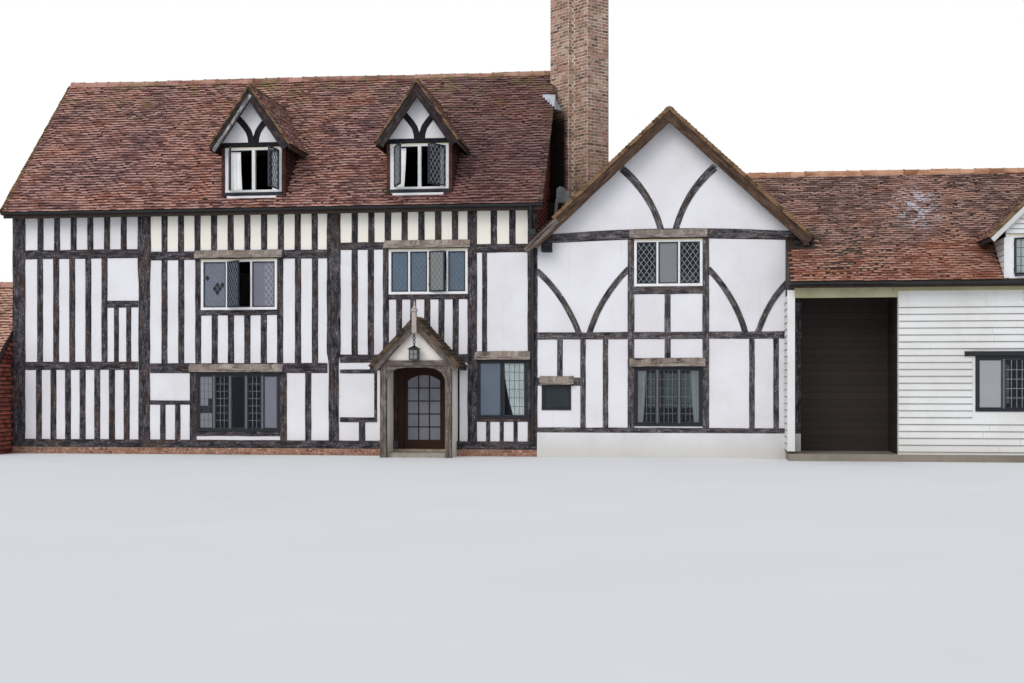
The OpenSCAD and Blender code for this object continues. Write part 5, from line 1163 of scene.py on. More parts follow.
class Windows:
    """Frames, casements, leads and panes of all windows, gathered by paint."""

    def __init__(self):
        self.white, self.black = Heap(201), Heap(202)
        self.iron, self.lead, self.glass = Heap(203), Heap(204), Heap(205)

    def add(self, w, place, looks, white=True, side=FRAME_W, mullion=MULLION_W, quarries=(), bare=1.0):
        """looks: one for each light, or one for all; quarries: the first light's odd panes, by column and row."""
        middle, sill, head, width, lights, opened = w
        x0, x1 = left_of(w), right_of(w)
        wood = self.white if white else self.black
        y0, y1 = -PROUD - 0.002, FRAME_D - PROUD
        wood.block(place, x0, x1, y0, y1, head - FRAME_W, head, 0.0, 0.006)
        if white:
            wood.block(place, x0, x1, y0 - 0.006, y1, head - 0.026, head + 0.006, 1.0, 0.003)
        wood.block(place, x0, x1, y0 - 0.012, y1, sill, sill + FRAME_W, 0.0, 0.008)
        light_w = (width - 2 * side - (lights - 1) * MULLION_W) / lights
        light_h = head - sill - 2 * FRAME_W
        z0 = sill + FRAME_W
        for a in (x0, x1 - side):
            wood.block(place, a, a + side, y0, y1, z0, z0 + light_h, 0.0, 0.006)
        for i in range(lights):
            a = x0 + side + i * (light_w + MULLION_W)
            look = looks[i] if isinstance(looks, list) else looks
            if i < lights - 1:
                spare = (mullion - MULLION_W) / 2
                wood.block(place, a + light_w - spare, a + light_w + MULLION_W + spare, y0, y1, z0, z0 + light_h,
                           0.0 if white else bare, 0.01)
            angle, hung_right = opened.get(i, (0, 0))
            hinge = a + hung_right * light_w + (HINGE_SHIFT if i in opened and not hung_right else 0)
            turn = math.radians(angle if hung_right else -angle)
            if i in opened:
                for z in (z0 + 0.15 * light_h, z0 + 0.8 * light_h):
                    self.iron.block(place, hinge - 0.03 + hung_right * 0.03, hinge + hung_right * 0.03,
                                    -PROUD - 0.015, -PROUD, z, z + 0.05)

            def leaf(x, y, z):
                if i not in opened:
                    return place(a + x, y, z0 + z)
                x, y = x - hung_right * light_w, y - CASEMENT_D
                return place(hinge + x * math.cos(turn) - y * math.sin(turn),
                             -PROUD + x * math.sin(turn) + y * math.cos(turn), z0 + z)

            self.sash(leaf, light_w, light_h, look, quarries if i == 0 else ())

    def sash(self, place, w, h, look, quarries):
        tone, pattern, lead_tint, half = (*look, LEAD_HALF)[:4]
        c, d = CASEMENT_W, CASEMENT_D
        for x0, x1, z0, z1 in ((0, w, 0, c), (0, w, h - c, h), (0, c, c, h - c), (w - c, w, c, h - c)):
            self.iron.block(place, x0, x1, 0, d, z0, z1, soft=0.005)
        self.glass.block(place, c - 0.004, w - c + 0.004, d / 2 - 0.002, d / 2 + 0.002, c - 0.004, h - c + 0.004,
                         tone)
        gw, gh = w - 2 * c, h - 2 * c
        shapes = []
        if pattern in (DIAMONDS, HALF):
            start = gw * 0.55 if pattern == HALF else 0.0
            across = max(2, round(gw / 0.115))
            dx = gw / across
            dz = dx * 1.35
            for n in range(-int(gh / dz) - 1, across + 1):
                self.came(place, gw, gh, n * dx, dx / dz, lead_tint, half, start)
            for n in range(0, across + int(gh / dz) + 2):
                self.came(place, gw, gh, n * dx, -dx / dz, lead_tint, half, start)
            for i, j in quarries:
                x, z = c + i * dx / 2, c + j * dz / 2
                shapes.append([(x - dx / 2, z), (x, z - dz / 2), (x + dx / 2, z), (x, z + dz / 2)])
        elif pattern == SQUARES:
            across, rows = max(2, round(gw / 0.1)), max(2, round(gh / 0.18))
            for n in range(1, across):
                self.strip(place, (gw * n / across, 0), (gw * n / across, gh), lead_tint, half)
            for n in range(1, rows):
                self.strip(place, (0, gh * n / rows), (gw, gh * n / rows), lead_tint, half)
            for i, j in quarries:
                shapes.append([(c + gw * u / across, c + gh * v / rows)
                               for u, v in ((i, j), (i + 1, j), (i + 1, j + 1), (i, j + 1))])
        for shape in shapes:
            self.lead.prism(*([place(u, d / 2 - y, v) for u, v in shape] for y in (0.004, 0.002)))

    def came(self, place, gw, gh, x_start, slope, tint, half, edge):
        """One slanting lead, cut to the pane; a half leaded pane is plain up to edge."""
        t0, t1 = sorted(((edge - x_start) / slope, (gw - x_start) / slope))
        t0, t1 = max(0.0, t0), min(gh, t1)
        if t1 - t0 > 0.01:
            self.strip(place, (x_start + slope * t0, t0), (x_start + slope * t1, t1), tint, half)

    def strip(self, place, p, q, tint, half):
        """A flat lead from p to q on the pane."""
        dx, dz = q[0] - p[0], q[1] - p[1]
        run = math.hypot(dx, dz)
        nx, nz = -dz / run * half, dx / run * half
        y0, y1 = CASEMENT_D / 2 - 0.006, CASEMENT_D / 2 + 0.006
        points = [place(CASEMENT_W + x + sign * nx, y, CASEMENT_W + z + sign * nz) for x, z in (p, q)
                  for sign, y in ((1, y0), (-1, y0), (-1, y1), (1, y1))]
        self.lead.add(points, [[0, 1, 5, 4], [1, 2, 6, 5], [2, 3, 7, 6], [3, 0, 4, 7]], tint=tint)


DORMER_SIDE, DORMER_WIDE = 0.1, 1.35
dormer_sill, dormer_head = MAIN_ROOF.top(DORMER_Y) + 0.085, DORMER_ROOFS[0].under(CHEEK) - 0.19
left_dormer_window = (DORMER_XS[0], dormer_sill, dormer_head, DORMER_WIDE, 2, {0: (68, 0), 1: (84, 1)})
right_dormer_window = (DORMER_XS[1], dormer_sill, dormer_head, DORMER_WIDE, 2, {0: (64, 0), 1: (58, 1)})
range_sill = RANGE_ROOF.top_at(0, RANGE_DORMER_Y) + 0.072
range_dormer_window = (RANGE_DORMER_X, range_sill - 0.1, RANGE_DORMER_ROOF.under(0.7) - 0.207, 1.28, 2, {0: (30, 0)})
range_window = (11.58, 1.05, 2.2, 1.66, 3, {})
range_back_windows = [(-WING_X1 - share * (RANGE_X1 - WING_X1), 1.05, 2.2, 1.2, 2, {}) for share in (0.31, 0.7)]
range_end_window = (RANGE_MID, 3.4, 4.4, 1.0, 2, {})

BLUE_LIGHT, BARRED = (TEAL, DIAMONDS, 0.56, 0.0026), (0.0, SQUARES, 0.66, 0.003)
DARK_DIAMONDS, DARK_SQUARES = (DARK, DIAMONDS, 0.72), (DARK, SQUARES, 0.5)
PLAIN_BACK, LEADED_BACK = (SLATE, SQUARES, 0.6), (TEAL, DIAMONDS, 0.6)
windows = Windows()
windows.add(window_1, on_front, [(0.65, DIAMONDS, 0.62, 0.0026), (0.2, DIAMONDS, 0.6, 0.005),
                                 (LILAC, HALF, 0.85, 0.004)],
            quarries=[(1, 8), (5, 6), (4, 5), (6, 5), (5, 4), (7, 6)])
windows.add(window_2, on_front, [BLUE_LIGHT, (TEAL, DIAMONDS, 0.58, 0.0026), (0.86, DIAMONDS, 0.4, 0.003), BLUE_LIGHT])
windows.add(window_3, on_front, [(0.76, SQUARES, 0.25, 0.0035), BARRED, (0.0, PLAIN, 0.5), BARRED, (LILAC, PLAIN, 0.5)],
            white=False, quarries=[(0, 2), (1, 2), (2, 2), (2, 3)])
windows.add(window_4, on_front, [(0.56, PLAIN, 0.3), (-0.25, SQUARES, 0.05)], white=False, bare=0.0)
windows.add(wing_window_1, on_front, [DARK_DIAMONDS, (0.8, PLAIN, 0.5), DARK_DIAMONDS])
windows.add(wing_window_2, on_front, DARK_SQUARES, white=False)
windows.add(wing_window_3, on_front, (SLATE, PLAIN, 0.5), white=False)
for w in back_windows + wing_back_windows:
    upper = w[1] > 2
    windows.add(w, on_back, LEADED_BACK if upper else PLAIN_BACK, white=upper)
windows.add(left_window, on_left, LEADED_BACK)
windows.add(left_dormer_window, on_dormer, (0.06, DIAMONDS, 0.45, 0.003), side=DORMER_SIDE, mullion=0.08)
windows.add(right_dormer_window, on_dormer, (0.28, DIAMONDS, 0.78, 0.003), side=DORMER_SIDE, mullion=0.08)
windows.add(range_dormer_window, on_range_dormer, (-0.2, SQUARES, 0.05, 0.005), side=DORMER_SIDE)
windows.add(range_window, on_range_front, [(PALE, PLAIN, 0.5)] + [(DARK, SQUARES, 0.7)] * 2, white=False)
for w in range_back_windows:
    windows.add(w, on_range_back, PLAIN_BACK)
windows.add(range_end_window, on_range_end, PLAIN_BACK)
for name, heap, paint, slot, stood_for in (
        ("white_window_frames", windows.white, white_paint, "painted_window", ("window_frames",)),
        ("black_window_frames", windows.black, black_paint, "iron_casement", ()),
        ("iron_casements", windows.iron, iron, "iron_casement", ("open_casements",)),
        ("window_leads", windows.lead, lead, "iron_casement", ()),
        ("window_panes", windows.glass, clear_pane, "window_glass", ("window_glass",))):
    piece(name, heap, paint, slot, stood_for)


def curtain(name, place, x0, x1, z0, z1, tied=0.0, behind=0.12):
    """Gathered cloth behind a window, drawn in by tied at its foot, towards x0."""
    folds = max(3, int((x1 - x0) / 0.07))
    across, down, deep, thick = folds * 8, 10, 0.016, 0.0012
    middle = []
    for j in range(down + 1):
        v = j / down
        shrink = 1 - tied * v ** 1.6
        row = []
        for i in range(across + 1):
            u = i / across
            wave = deep * math.sin(2 * math.pi * folds * u) * (0.8 + 0.3 * math.sin(5 * v + 9 * u))
            row.append((x0 + (x1 - x0) * u * shrink, behind + wave, z1 + (z0 - z1) * v))
        middle.append(row)
    wide = max(sum(math.dist(a, b) for a, b in zip(row, row[1:])) for row in middle)
    area = 0.0
    for top, low in zip(middle, middle[1:]):
        for i in range(across):
            area += 0.5 * (math.dist(top[i], top[i + 1]) + math.dist(low[i], low[i + 1])) * abs(top[i][2] - low[i][2])
    points = [place(x, y + side * thick, z) for side in (-1, 1) for row in middle for x, y, z in row]
    n, one = across + 1, (across + 1) * (down + 1)
    faces = []
    for j in range(down):
        for i in range(across):
            a = j * n + i
            faces.append([a, a + 1, a + n + 1, a + n])
            faces.append([one + a, one + a + n, one + a + n + 1, one + a + 1])
    rim = [i for i in range(n)] + [j * n + across for j in range(1, down + 1)]
    rim += [down * n + i for i in range(across - 1, -1, -1)] + [j * n for j in range(down - 1, 0, -1)]
    for a, b in zip(rim, rim[1:] + rim[:1]):
        faces.append([a, one + a, one + b, b])
    heap = Heap()
    heap.add(points, faces)
    made = piece(name, heap, glowing_curtain_cloth, "painted_window", smooth=True)
    return made


def light_span(w, i, side=FRAME_W):
    light_w = (w[3] - 2 * side - (w[4] - 1) * MULLION_W) / w[4]
    a = left_of(w) + side + i * (light_w + MULLION_W)
    return a, a + light_w


def mirrored(place):
    return lambda x, y, z: place(-x, y, z)


for side, w, shown in (("left", left_dormer_window, ((0.23, -0.15), (0.17, 0.0))),
                       ("right", right_dormer_window, ((0.24, 0.2), (0.12, 0.0)))):
    for i, place, (wide, tied) in zip((0, 1), (on_dormer, mirrored(on_dormer)), shown):
        edge = light_span(w, 0, DORMER_SIDE)[0] if i == 0 else -light_span(w, 1, DORMER_SIDE)[1]
        curtain(side + "_dormer_curtain_%d" % (i + 1), place, edge, edge + wide, dormer_sill + 0.04, dormer_head - 0.08,
                tied)
a, b = light_span(range_dormer_window, 0, DORMER_SIDE)
curtain("range_dormer_curtain", on_range_dormer, a + 0.05, b - 0.05, range_sill + 0.04, range_dormer_window[2] - 0.08)
a, b = light_span(window_4, 1)
curtain("end_bay_curtain", mirrored(on_front), -b, -a, window_4[1] + 0.04, window_4[2] - 0.06,
        tied=0.45, behind=0.07)
for side, place, edge in (("left", on_front, light_span(wing_window_2, 0)[0]),
                          ("right", mirrored(on_front), -light_span(wing_window_2, 2)[1])):
    curtain("wing_curtain_" + side, place, edge - 0.03, edge + 0.2, 0.75, 1.94, tied=0.3)


# Weathered boards over the windows: how far each lies above its window and runs past it on the left and right
def hoods():
    heap = Heap(210)
    for w, lift, left, right in ((window_1, 0.04, 0.13, 0.13), (window_2, 0.03, 0.1, 0.06),
                                 (window_3, 0.04, 0.15, 0.07), (window_4, 0.02, 0.04, 0.06),
                                 (wing_window_1, 0.05, 0.1, 0.1), (wing_window_2, 0.03, 0.1, 0.06),
                                 (wing_window_3, 0.04, 0.04, 0.06)):
        x0, x1, z = left_of(w) - left, right_of(w) + right, w[2] + lift
        count = max(3, int((x1 - x0) / 0.15))
        points, grain = [], []
        gid = heap.chance.uniform(0, 50)
        for k in range(count + 1):
            x = x0 + (x1 - x0) * k / count
            j = heap.chance.uniform(-0.004, 0.004, 4)
            for y, h in ((-0.01, z), (-0.115 + j[0], z - 0.018 + j[1]), (-0.118 + j[0], z + 0.06 + j[2]),
                         (-0.07, z + 0.115 + j[3]), (-0.01, z + 0.172 + j[3])):
                points.append(on_front(x, y, h))
                grain.append((x, h - y, gid))
        heap.add(points, loft(count + 1, 5), grain)
    piece("weather_boards_over_windows", heap, hood_oak, "weathered_oak", replaces=("window_hoods",))


hoods()


# Boards under the verges, and the ragged ends of the tiles over them
def verge_boards(heap, roof, y0, y1, depth, lift=0.0, sides=(-1, 1), foot=0.0, head=None, rough=0.006):
    """lift: how far a board's upper edge lies above the roof's underside; foot and head are shares of the slope."""
    for side in sides:
        def at(share, side=side):
            d = roof.run * (1 - share)
            rise = (roof.half - d) * tan(roof.pitch)
            return (roof.ridge + side * d, roof.wall_h + rise + (lift - depth / 2) / cos(roof.pitch))
        end = head or 1 + depth / 2 * sin(roof.pitch) / roof.run
        heap.beam(plain, [at(foot), at(end)], depth - rough, y0 - 0.001 * side, y1, rough, 0.2, 0.008)


def verge_ends(heap, roof, front, back, above, below, sides=(-1, 1), first=0.0, gauge=GAUGE):
    """The ends of the courses at a verge, from above the roof's top down to below it, each one a step."""
    chance = heap.chance
    c, s = cos(roof.pitch), sin(roof.pitch)
    slope = roof.run / c
    out = -1 if front < back else 1
    for side in sides:
        def at(t, h, side=side):
            d = roof.run - t * c
            up = roof.wall_h + (roof.half - d) * tan(roof.pitch) + roof.thick / c
            return roof.ridge + side * d + side * h * s, up + h * c

        for i in range(int(slope * first / gauge), int(slope / gauge) + 1):
            t = i * gauge
            a, b = max(-0.02, t - 0.02), min(t + 1.25 * gauge, slope + 0.02)
            step = chance.uniform(0.004, 0.014)
            corners = [at(a, above + step), at(b, above - 0.012), at(b, -below),
                       at(a, -below + chance.uniform(-0.01, 0.01))]
            ends = (front + out * chance.uniform(-0.004, 0.014), back)
            near, far = ([(u, end, z) if roof.axis == "y" else (end, u, z) for u, z in corners] for end in ends)
            heap.prism(near, far, chance.uniform(0, 1))


VERGE_Y = 3.604
wing_boards, grey_foot, stubs, black_boards, worn_board, porch_boards, white_verge = map(
    Heap, (220, 223, 248, 221, 226, 227, 222))
for y0, y1 in ((-3.59, -3.55), (3.55, 3.588)):
    verge_boards(wing_boards, WING_ROOF, y0, y1, 0.205, 0.087, foot=0.02, rough=0.01)
wing_boards.block(plain, 7.3, 7.43, -3.58, -3.4, 4.6, 4.78, soft=0.01)
verge_boards(grey_foot, WING_ROOF, -VERGE_Y, -3.585, 0.15, 0.075, (-1,), -0.035, 0.2, 0.014)
verge_boards(grey_foot, WING_ROOF, -3.61, -3.585, 0.05, 0.085, (-1,), -0.03, 0.17, 0.01)
stubs.block(plain, 1.62, 1.84, -3.5, -3.2, 4.56, 4.76, soft=0.01)
stubs.block(plain, 7.12, 7.4, -3.52, -3.2, 4.5, 4.72, soft=0.01)
for roof in DORMER_ROOFS:
    verge_boards(black_boards, roof, DORMER_VERGE - 0.012, DORMER_VERGE + 0.04, 0.195, 0.05, foot=0.09)
verge_boards(worn_board, DORMER_ROOFS[0], DORMER_VERGE - 0.02, DORMER_VERGE + 0.04, 0.08, -0.045, (-1,), 0.1)
verge_boards(porch_boards, PORCH_ROOF, PORCH_Y0 - 0.07, PORCH_Y0 - 0.03, 0.12, foot=0.1)
verge_boards(porch_boards, PORCH_ROOF, PORCH_Y0 - 0.102, PORCH_Y0 - 0.05, 0.06, 0.04, foot=0.07)
verge_boards(white_verge, RANGE_DORMER_ROOF, RANGE_DORMER_Y - 0.152, RANGE_DORMER_Y - 0.09, 0.11, 0.04, foot=0.05)
tile_ends, dark_ends = Heap(228), Heap(229)
for y0, y1 in ((-VERGE_Y, -3.5), (VERGE_Y, 3.5)):
    verge_ends(tile_ends, WING_ROOF, y0, y1, 0.03, 0.045, (1,))
    verge_ends(tile_ends, WING_ROOF, y0, y1, 0.03, 0.045, (-1,), 0.17)
for roof in DORMER_ROOFS:
    verge_ends(tile_ends, roof, DORMER_VERGE - 0.028, DORMER_VERGE + 0.1, 0.004, 0.035, gauge=0.06)
verge_ends(tile_ends, RANGE_DORMER_ROOF, RANGE_DORMER_Y - 0.17, RANGE_DORMER_Y - 0.05, 0.026, 0.03)
for roof, front, back in ((MAIN_ROOF, -11.07, -10.98), (RANGE_ROOF, 14.56, 14.46), (SHED_ROOF, -14.22, -14.12)):
    verge_ends(tile_ends, roof, front, back, 0.02, 0.07)
verge_ends(dark_ends, PORCH_ROOF, PORCH_Y0 - 0.125, PORCH_Y0, 0.016, 0.06, gauge=0.05)
# Painted shade: the main roof's verge beside the chimney takes the porch's dark tiles
verge_ends(dark_ends, MAIN_ROOF, 1.65, 1.56, 0.02, 0.07)
for name, heap, paint, slot, stood_for in (
        ("wing_bargeboards", wing_boards, board_oak, "bargeboard_oak", ("bargeboards",)),
        ("wing_board_foot", grey_foot, porch_oak, "weathered_oak", ()),
        ("wing_roof_stubs", stubs, black_oak, "dark_oak", ()),
        ("dormer_boards", black_boards, black_board, "bargeboard_oak", ()),
        ("worn_dormer_board", worn_board, flaking_paint, "weathered_oak", ()),
        ("porch_boards", porch_boards, porch_oak, "weathered_oak", ()),
        ("range_dormer_boards", white_verge, dull_white, "painted_window", ()),
        ("verge_tile_ends", tile_ends, verge_tiles, "roof_tile", ()),
        ("dark_tile_ends", dark_ends, porch_clay, "roof_tile", ())):
    piece(name, heap, paint, slot, stood_for)


# Collar, braces and sill of each dormer
def dormer_gables():
    dark, black, white, corner = map(Heap, (230, 232, 231, 238))
    head, sill = dormer_head, dormer_sill
    for middle in DORMER_XS:
        def place(x, y, z):
            return (middle + x, DORMER_Y + y, z)
        dark.beam(place, [(-0.73, head + 0.055), (0.73, head + 0.055)], 0.105, -0.022, 0.03)
        for s in (-1, 1):
            path = [(s * x, head + z) for x, z in ((0.055, 0.1), (0.07, 0.23), (0.11, 0.36), (0.2, 0.49), (0.31, 0.62),
                                                   (0.37, 0.68))]
            dark.beam(place, path, 0.135, -0.016 - 0.002 * s, 0.03)
            x = s * 0.714
            corner.block(place, x - 0.036, x + 0.036, -0.03, 0.1, sill - 0.11, head, 0.6, 0.006)
        black.block(place, -0.72, 0.7, -0.055, 0.02, sill - 0.068, sill - 0.002, soft=0.006)
        white.block(place, -0.6, 0.56, -0.1, 0.02, sill - 0.142, sill - 0.09, soft=0.006)
    piece("dormer_gable_timbers", dark, black_oak, "dark_oak")
    # The corner boards take the cheeks' painted shade
    piece("dormer_corner_boards", corner, shaded_cheek_tiles, "hung_tile")
    piece("dormer_sills", black, black_paint, "iron_casement")
    piece("dormer_aprons", white, white_paint, "painted_window")


def stacked(heap, place, outline, rows):
    """Shapes on top of each other: each row is its foot, its head and the outline's size at both."""
    for low, high, a, b in rows:
        heap.prism([place(x * a, y * a, low) for x, y in outline], [place(x * b, y * b, high) for x, y in outline])


SQUARE = [(-1, -1), (1, -1), (1, 1), (-1, 1)]


# The porch's posts, tie and arch, the post that hangs in its gable and its lantern
def porch_timbers():
    place = faces_front(PORCH_Y0)
    heap = Heap(233)
    left, right = DOOR_X - 0.8, DOOR_X + 0.8
    for x in (left + 0.07, right - 0.07):
        heap.beam(place, [(x, 0.0), (x, PORCH_TIE)], 0.135, 0.0, 0.135)
        heap.block(plain, x - 0.065, x + 0.065, PORCH_Y0 + 0.14, -3.215, 2.035, 2.135, soft=0.004)
    heap.beam(place, [(left, 2.085), (right, 2.085)], 0.11, -0.006, 0.135)
    half, corner = 0.66, 0.33
    flat, low = half - corner, PORCH_TIE - 0.39
    rounding = [(flat + corner * cos(a), low + corner * sin(a)) for a in range(10, 90, 10)]
    outline = [(-half, PORCH_TIE), (-half, low)] + [(-x, z) for x, z in rounding]
    outline += [(flat * k / 4, low + corner + 0.03 * (1 - (k / 4) ** 2)) for k in range(-4, 5)]
    outline += rounding[::-1] + [(half, low), (half, PORCH_TIE)]
    heap.prism(*([place(DOOR_X + x, y, z) for x, z in outline] for y in (0.022, 0.092)))
    piece("porch_timbers", heap, porch_oak, "weathered_oak", replaces=("porch_frame",))
    post = Heap(234)
    post.beam(place, [(DOOR_X, 2.745), (DOOR_X, 3.2)], 0.1, -0.165, -0.07, 0.004, 0.06)
    stacked(post, lambda x, y, z: place(DOOR_X + x, y - 0.115, z), SQUARE,
            ((3.2, 3.22, 0.0396, 0.063), (3.22, 3.262, 0.063, 0.0576), (3.262, 3.31, 0.0576, 0.027),
             (3.31, 3.457, 0.027, 0.0036)))
    piece("porch_pendant", post, pendant_oak, "weathered_oak")


def lantern():
    def place(x, y, z):
        return (DOOR_X + x, PORCH_Y0 - 0.13 + y, 2.15 + z)

    def bar(x, y, half_x, half_y, z0, z1, heap, tint=0.0):
        heap.block(place, x - half_x, x + half_x, y - half_y, y + half_y, z0, z1, tint)

    heap, panes = Heap(235), Heap(236)
    side, foot, head = 0.092, 0.02, 0.215
    heap.block(place, -0.1, 0.1, -0.1, 0.1, 0.0, foot, soft=0.004)
    heap.block(place, -0.105, 0.105, -0.105, 0.105, head, 0.235, soft=0.004)
    for x in (-side, side):
        for y in (-side, side):
            bar(x, y, 0.009, 0.009, foot, head, heap)
    for s in (-side, side):
        bar(0, s, 0.006, 0.005, foot, head, heap)
        bar(s, 0, 0.005, 0.006, foot, head, heap)
        bar(0, s, 0.09, 0.005, 0.12, 0.132, heap)
        bar(s, 0, 0.005, 0.09, 0.12, 0.132, heap)
        pane = math.copysign(0.088, s)
        bar(0, pane, 0.085, 0.002, foot, head, panes, 0.85)
        bar(pane, 0, 0.002, 0.085, foot, head, panes, 0.85)
    stacked(heap, place, SQUARE, ((0.235, 0.245, 0.128, 0.125), (0.245, 0.3, 0.125, 0.03), (0.3, 0.325, 0.03, 0.012)))
    for k in range(5):
        # One link of the chain, turned against the next
        z = 0.32 + 0.045 * k
        wide, deep = (0.02, 0.006) if k % 2 else (0.006, 0.02)
        for s in (-1, 1):
            bar(s * wide, s * deep, 0.008, 0.008, z, z + 0.052, heap)
        for end in (z, z + 0.042):
            bar(0, 0, wide + 0.005, deep + 0.005, end, end + 0.01, heap)
    piece("lantern_iron", heap, black_iron, "black_iron", replaces=("porch_lantern",))
    piece("lantern_panes", panes, clear_pane, "window_glass")


# Lead where the roofs meet the chimney, stepped along the main roof and plain on the gable
def lead_work():
    heap, old = Heap(240), Heap(247)
    for k in range(6):
        t = k / 5
        x0, x1, z = 1.37 + 0.31 * t, 1.62 + 0.185 * t, 8.56 - 0.335 * t
        roof_y = FRONT_Y + (z - 6.013) / tan(MAIN_ROOF.pitch) - 0.07
        face_y = -0.32 - (x1 - 1.5) - 0.012
        path = [(x0, roof_y), (1.675, roof_y), (x1, face_y)] if x0 < 1.67 else [(x0, roof_y), (x1, face_y)]
        for (xa, ya), (xb, yb) in zip(path, path[1:]):
            if xb <= xa:
                continue
            rise = 0.04 if xb == x1 else 0.0
            near = [(xa, ya - 0.05, z - 0.045), (xb, yb - 0.05, z - 0.03 + rise), (xb, yb - 0.05, z + 0.03 + rise),
                    (xa, ya - 0.05, z + 0.04)]
            heap.prism(near, [(x, y + 0.07, h) for x, y, h in near])
    piece("lead_flashing", heap, pale_lead, "iron_casement")
    old.beam(plain, [(1.66, 5.1), (1.74, 6.02)], 0.07, -1.19, -1.155, 0.003)
    curve = [(1.72, 5.95), (1.73, 6.28), (1.8, 6.34), (1.9, 6.31), (2.0, 6.18), (2.07, 5.95)]
    old.prism(*([(x, y, z) for x, z in curve] for y in (-1.14, -0.75)))
    piece("old_lead", old, grey_lead, "iron_casement")


def hole(w, low=0.05, high=0.06):
    """The place of a window in boards, a little larger than its frame."""
    return (left_of(w) - 0.06, right_of(w) + 0.06, w[1] - low, w[2] + high)


# White weatherboards of the range
def weatherboards():
    heap, shade, frieze, drip = map(Heap, (241, 242, 243, 244))
    lap, foot = 0.1435, 0.2

    def board(place, x0, x1, z):
        tilt = [(0.002, z + lap + 0.012), (-0.006, z + lap + 0.012), (-0.026, z), (0.002, z)]
        # A painted shadow strip under the board's lower edge
        shade.block(place, x0 + 0.003, x1 - 0.003, -0.0285, -0.02, z - 0.001, z + 0.013)
        joint = heap.chance.uniform(0.002, 0.004)
        points = [place(x, y, h) for x in (x0 + joint, x1 - joint) for y, h in tilt]
        heap.add(points, [[0, 1, 5, 4], [1, 2, 6, 5], [2, 3, 7, 6], [3, 0, 4, 7], [3, 2, 1, 0], [4, 5, 6, 7]],
                 [(q[0] + q[1], q[2], 0) for q in points])

    def wall(place, x0, x1, top, holes=(), gable=None):
        """Rows of boards up to top, cut by the holes and, on a gable, by the slopes of the roof."""
        z = foot
        while z < top - 0.02:
            reach = gable.half - max(0, (z + lap - gable.wall_h) / tan(gable.pitch)) if gable else 0
            spans = [(gable.ridge - reach, gable.ridge + reach) if gable else (x0, x1)] * (not gable or reach > 0.08)
            for hx0, hx1, hz0, hz1 in holes:
                if z + lap > hz0 and z < hz1:
                    spans = [s for a, b in spans for s in ((a, min(b, hx0)), (max(a, hx1), b)) if s[1] - s[0] > 0.05]
            for a, b in spans:
                cut = a + (b - a) * heap.chance.uniform(0.3, 0.7)
                for start, end in ((a, cut), (cut, b)) if b - a > 3 else ((a, b),):
                    board(place, start, end, z)
            z += lap

    wall(on_range_front, RECESS_X1, RANGE_X1, 3.74, [hole(range_window, 0.05, 0.08), (RECESS_X1, 11.7, 3.5, 4.0)])
    wall(on_range_back, -RANGE_X1, -WING_X1, 3.74, [hole(w) for w in range_back_windows])
    wall(faces_left(RETURN_X), 3.23, -RANGE_Y0, 3.4)
    wall(on_range_end, RANGE_Y0, RANGE_Y1, 6.3, [hole(range_end_window, 0.06)], RANGE_ROOF)
    heap.block(plain, RETURN_X - 0.03, RETURN_X + 0.13, RANGE_Y0 - 0.032, RANGE_Y0 + 0.01, foot, 3.6, soft=0.006)
    for k in range(9):
        z = range_dormer_window[2] + 0.02 + 0.1 * k
        reach = 0.7 - max(0.0, z + 0.16 - RANGE_DORMER_ROOF.under(0.7)) / tan(RANGE_DORMER_ROOF.pitch)
        if reach > 0.06:
            board(faces_front(RANGE_DORMER_Y, 0.8), RANGE_DORMER_X - reach, RANGE_DORMER_X + reach, z)
    front = RANGE_DORMER_Y - 0.01
    slope_foot = 4.0255     # the top of the boarded range's slope, over the wall
    for side in (-1, 1):
        x = RANGE_DORMER_X + side * 0.738
        near = [(x, front, 3.78), (x, front, 4.62), (x, -3.47, 4.62)]
        heap.prism(near, [(x - side * 0.035, y, z) for x, y, z in near])
        # Painted shadow strips at the laps of the dormer's side boards
        for k in range(6):
            z = 3.88 + 0.125 * k
            back = RANGE_MID - (RANGE_ROOF.half - (z - slope_foot) / tan(RANGE_ROOF.pitch))
            x0, x1 = sorted((x, x + side * 0.004))
            shade.block(plain, x0, x1, front, back, z, z + 0.012)
    piece("white_weatherboards", heap, white_boards, "white_boards")
    piece("weatherboard_edges", shade, edge_shade, "white_boards")
    frieze.block(on_range_front, RECESS_X1 - 0.1, 11.72, -0.036, 0.002, 3.56, 3.8, soft=0.006)
    piece("range_frieze", frieze, frieze_paint, "cream_paint")
    drip.block(on_range_front, left_of(range_window) - 0.22, right_of(range_window) + 0.1, -0.06, 0.01, 2.2, 2.3,
               soft=0.01)
    piece("range_drip_board", drip, black_paint, "iron_casement")


for build in (dormer_gables, porch_timbers, lantern, lead_work, weatherboards):
    build()


# ---------------------------------------------------------------- finishes of the frame's own parts

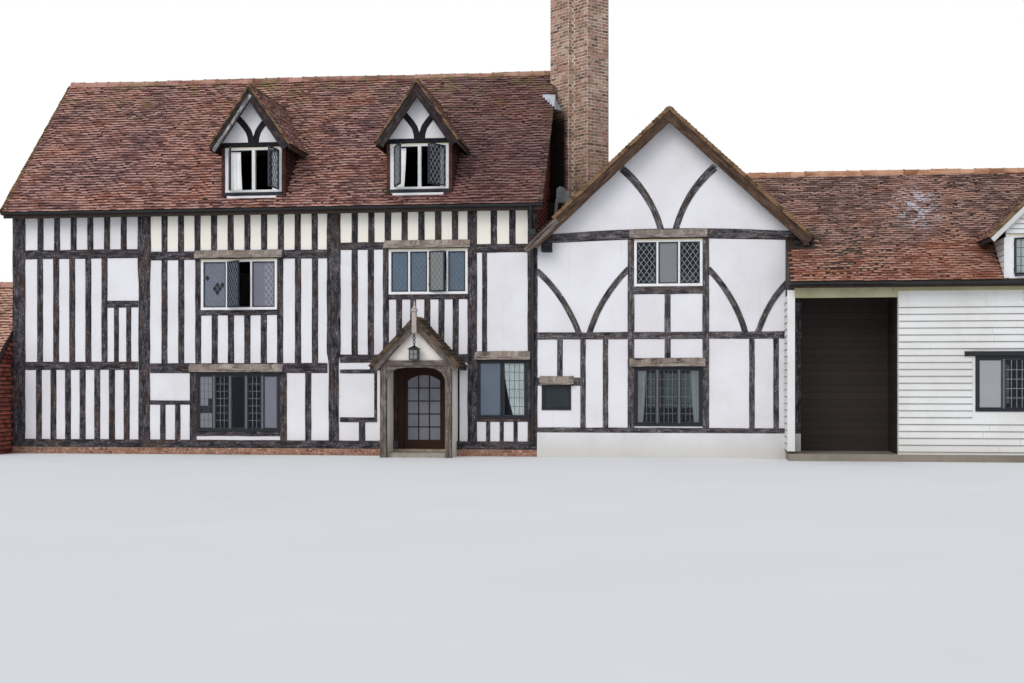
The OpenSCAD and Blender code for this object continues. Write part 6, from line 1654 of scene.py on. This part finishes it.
finish = {
    limewash: ["front_wall_left", "front_wall_right", "upper_wall_left", "upper_wall_right", "main_back_wall",
               "main_left_wall", "wing_front_wall", "wing_right_wall", "wing_back_wall", "dormer_fronts"],
    porch_plaster: ["porch_walls"],
    white_render: ["wing_plinth"],
    shade_dark_recess_boards: ["recess_walls"],
    hung_tiles: ["main_right_wall", "outhouse_walls"],
    shaded_cheek_tiles: ["dormer_cheeks"],
    dark_boards: ["main_roof_front", "main_roof_back", "dormer_roofs", "porch_roof", "wing_roof_left",
                  "wing_roof_right", "range_roof_front", "range_roof_back", "outhouse_roof"],
    mortar: ["main_plinth"],
    pale_mortar: ["chimney_stack", "chimney_cap"],
    floor_stone: ["main_ground_floor", "wing_ground_floor", "range_ground_floor"],
    floor_boards: ["main_upper_floors", "wing_upper_floors", "range_first_floor"],
    step_stone: ["porch_step"],
    black_iron: ["door_hinges"],
    door_oak: ["door_frame", "front_door"],
    door_pane_reflection: ["front_door_glass"],
    gutter_black: ["rainwater_goods"],
    white_boards: ["range_front_wall", "range_back_wall", "range_end_wall"],
    frieze_paint: ["recess_beam"],
}
for paint, names in finish.items():
    for name in names:
        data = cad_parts[name].data
        data.materials.clear()
        data.materials.append(paint)


# ---------------------------------------------------------------- floor, light and camera

def floor():
    mesh = bpy.data.meshes.new("floor")
    r, z = 90.0, -0.002
    mesh.from_pydata([(x * r, y * r, z) for x, y in SQUARE], [], [[0, 1, 2, 3]])
    made = bpy.data.objects.new("floor", mesh)
    scene.collection.objects.link(made)
    p = Paint("pale_floor")
    shade = p.mix(p.noise(0.4, 4, 0.6), "f1f1f1", "e9e9ea")
    made.data.materials.append(p.done(shade, 0.9, p.bump(p.noise(8, 3, 0.6), 0.002, 0.3), specular=0.1))


def world_light():
    """A cool soft light all round that the camera sees as white."""
    world = bpy.data.worlds.new("studio")
    scene.world = world
    world.use_nodes = True
    world.node_tree.nodes.clear()
    nodes = Nodes(world.node_tree)
    soft, seen = (nodes.add("ShaderNodeBackground", {"Color": colour, "Strength": strength})[0]
                  for colour, strength in (((0.86, 0.92, 1.0, 1), 0.62), ((1, 1, 1, 1), 1.0)))
    path = nodes.add("ShaderNodeLightPath")
    either = nodes.add("ShaderNodeMath", {0: path["Is Camera Ray"], 1: path["Is Transmission Ray"]},
                       operation="MAXIMUM")[0]
    both = nodes.add("ShaderNodeMixShader", {0: either, 1: soft, 2: seen})[0]
    nodes.add("ShaderNodeOutputWorld", {"Surface": both})


def sun(name, strength, angle, direction, colour):
    data = bpy.data.lights.new(name, "SUN")
    data.energy, data.angle, data.color = strength, math.radians(angle), colour
    lamp = bpy.data.objects.new(name, data)
    lamp.rotation_euler = Vector(direction).to_track_quat("-Z", "Y").to_euler()
    scene.collection.objects.link(lamp)


floor()
world_light()
sun("soft_sun", 1.15, 35, (0.42, 0.8, -0.68), (1.0, 0.97, 0.94))
sun("sky_fill", 0.72, 80, (-0.15, 1.0, -0.12), (0.94, 0.97, 1.0))

camera_data = bpy.data.cameras.new("camera")
camera_data.lens, camera_data.sensor_width = 47.46, 36
camera_data.shift_y = 0.0425
camera_data.clip_end = 400
camera = bpy.data.objects.new("camera", camera_data)
camera.location = (4.88, -33.2, 1.6)
camera.rotation_euler = (math.radians(90), 0, math.radians(7.5))
scene.collection.objects.link(camera)
scene.camera = camera
scene.view_settings.view_transform = "Standard"
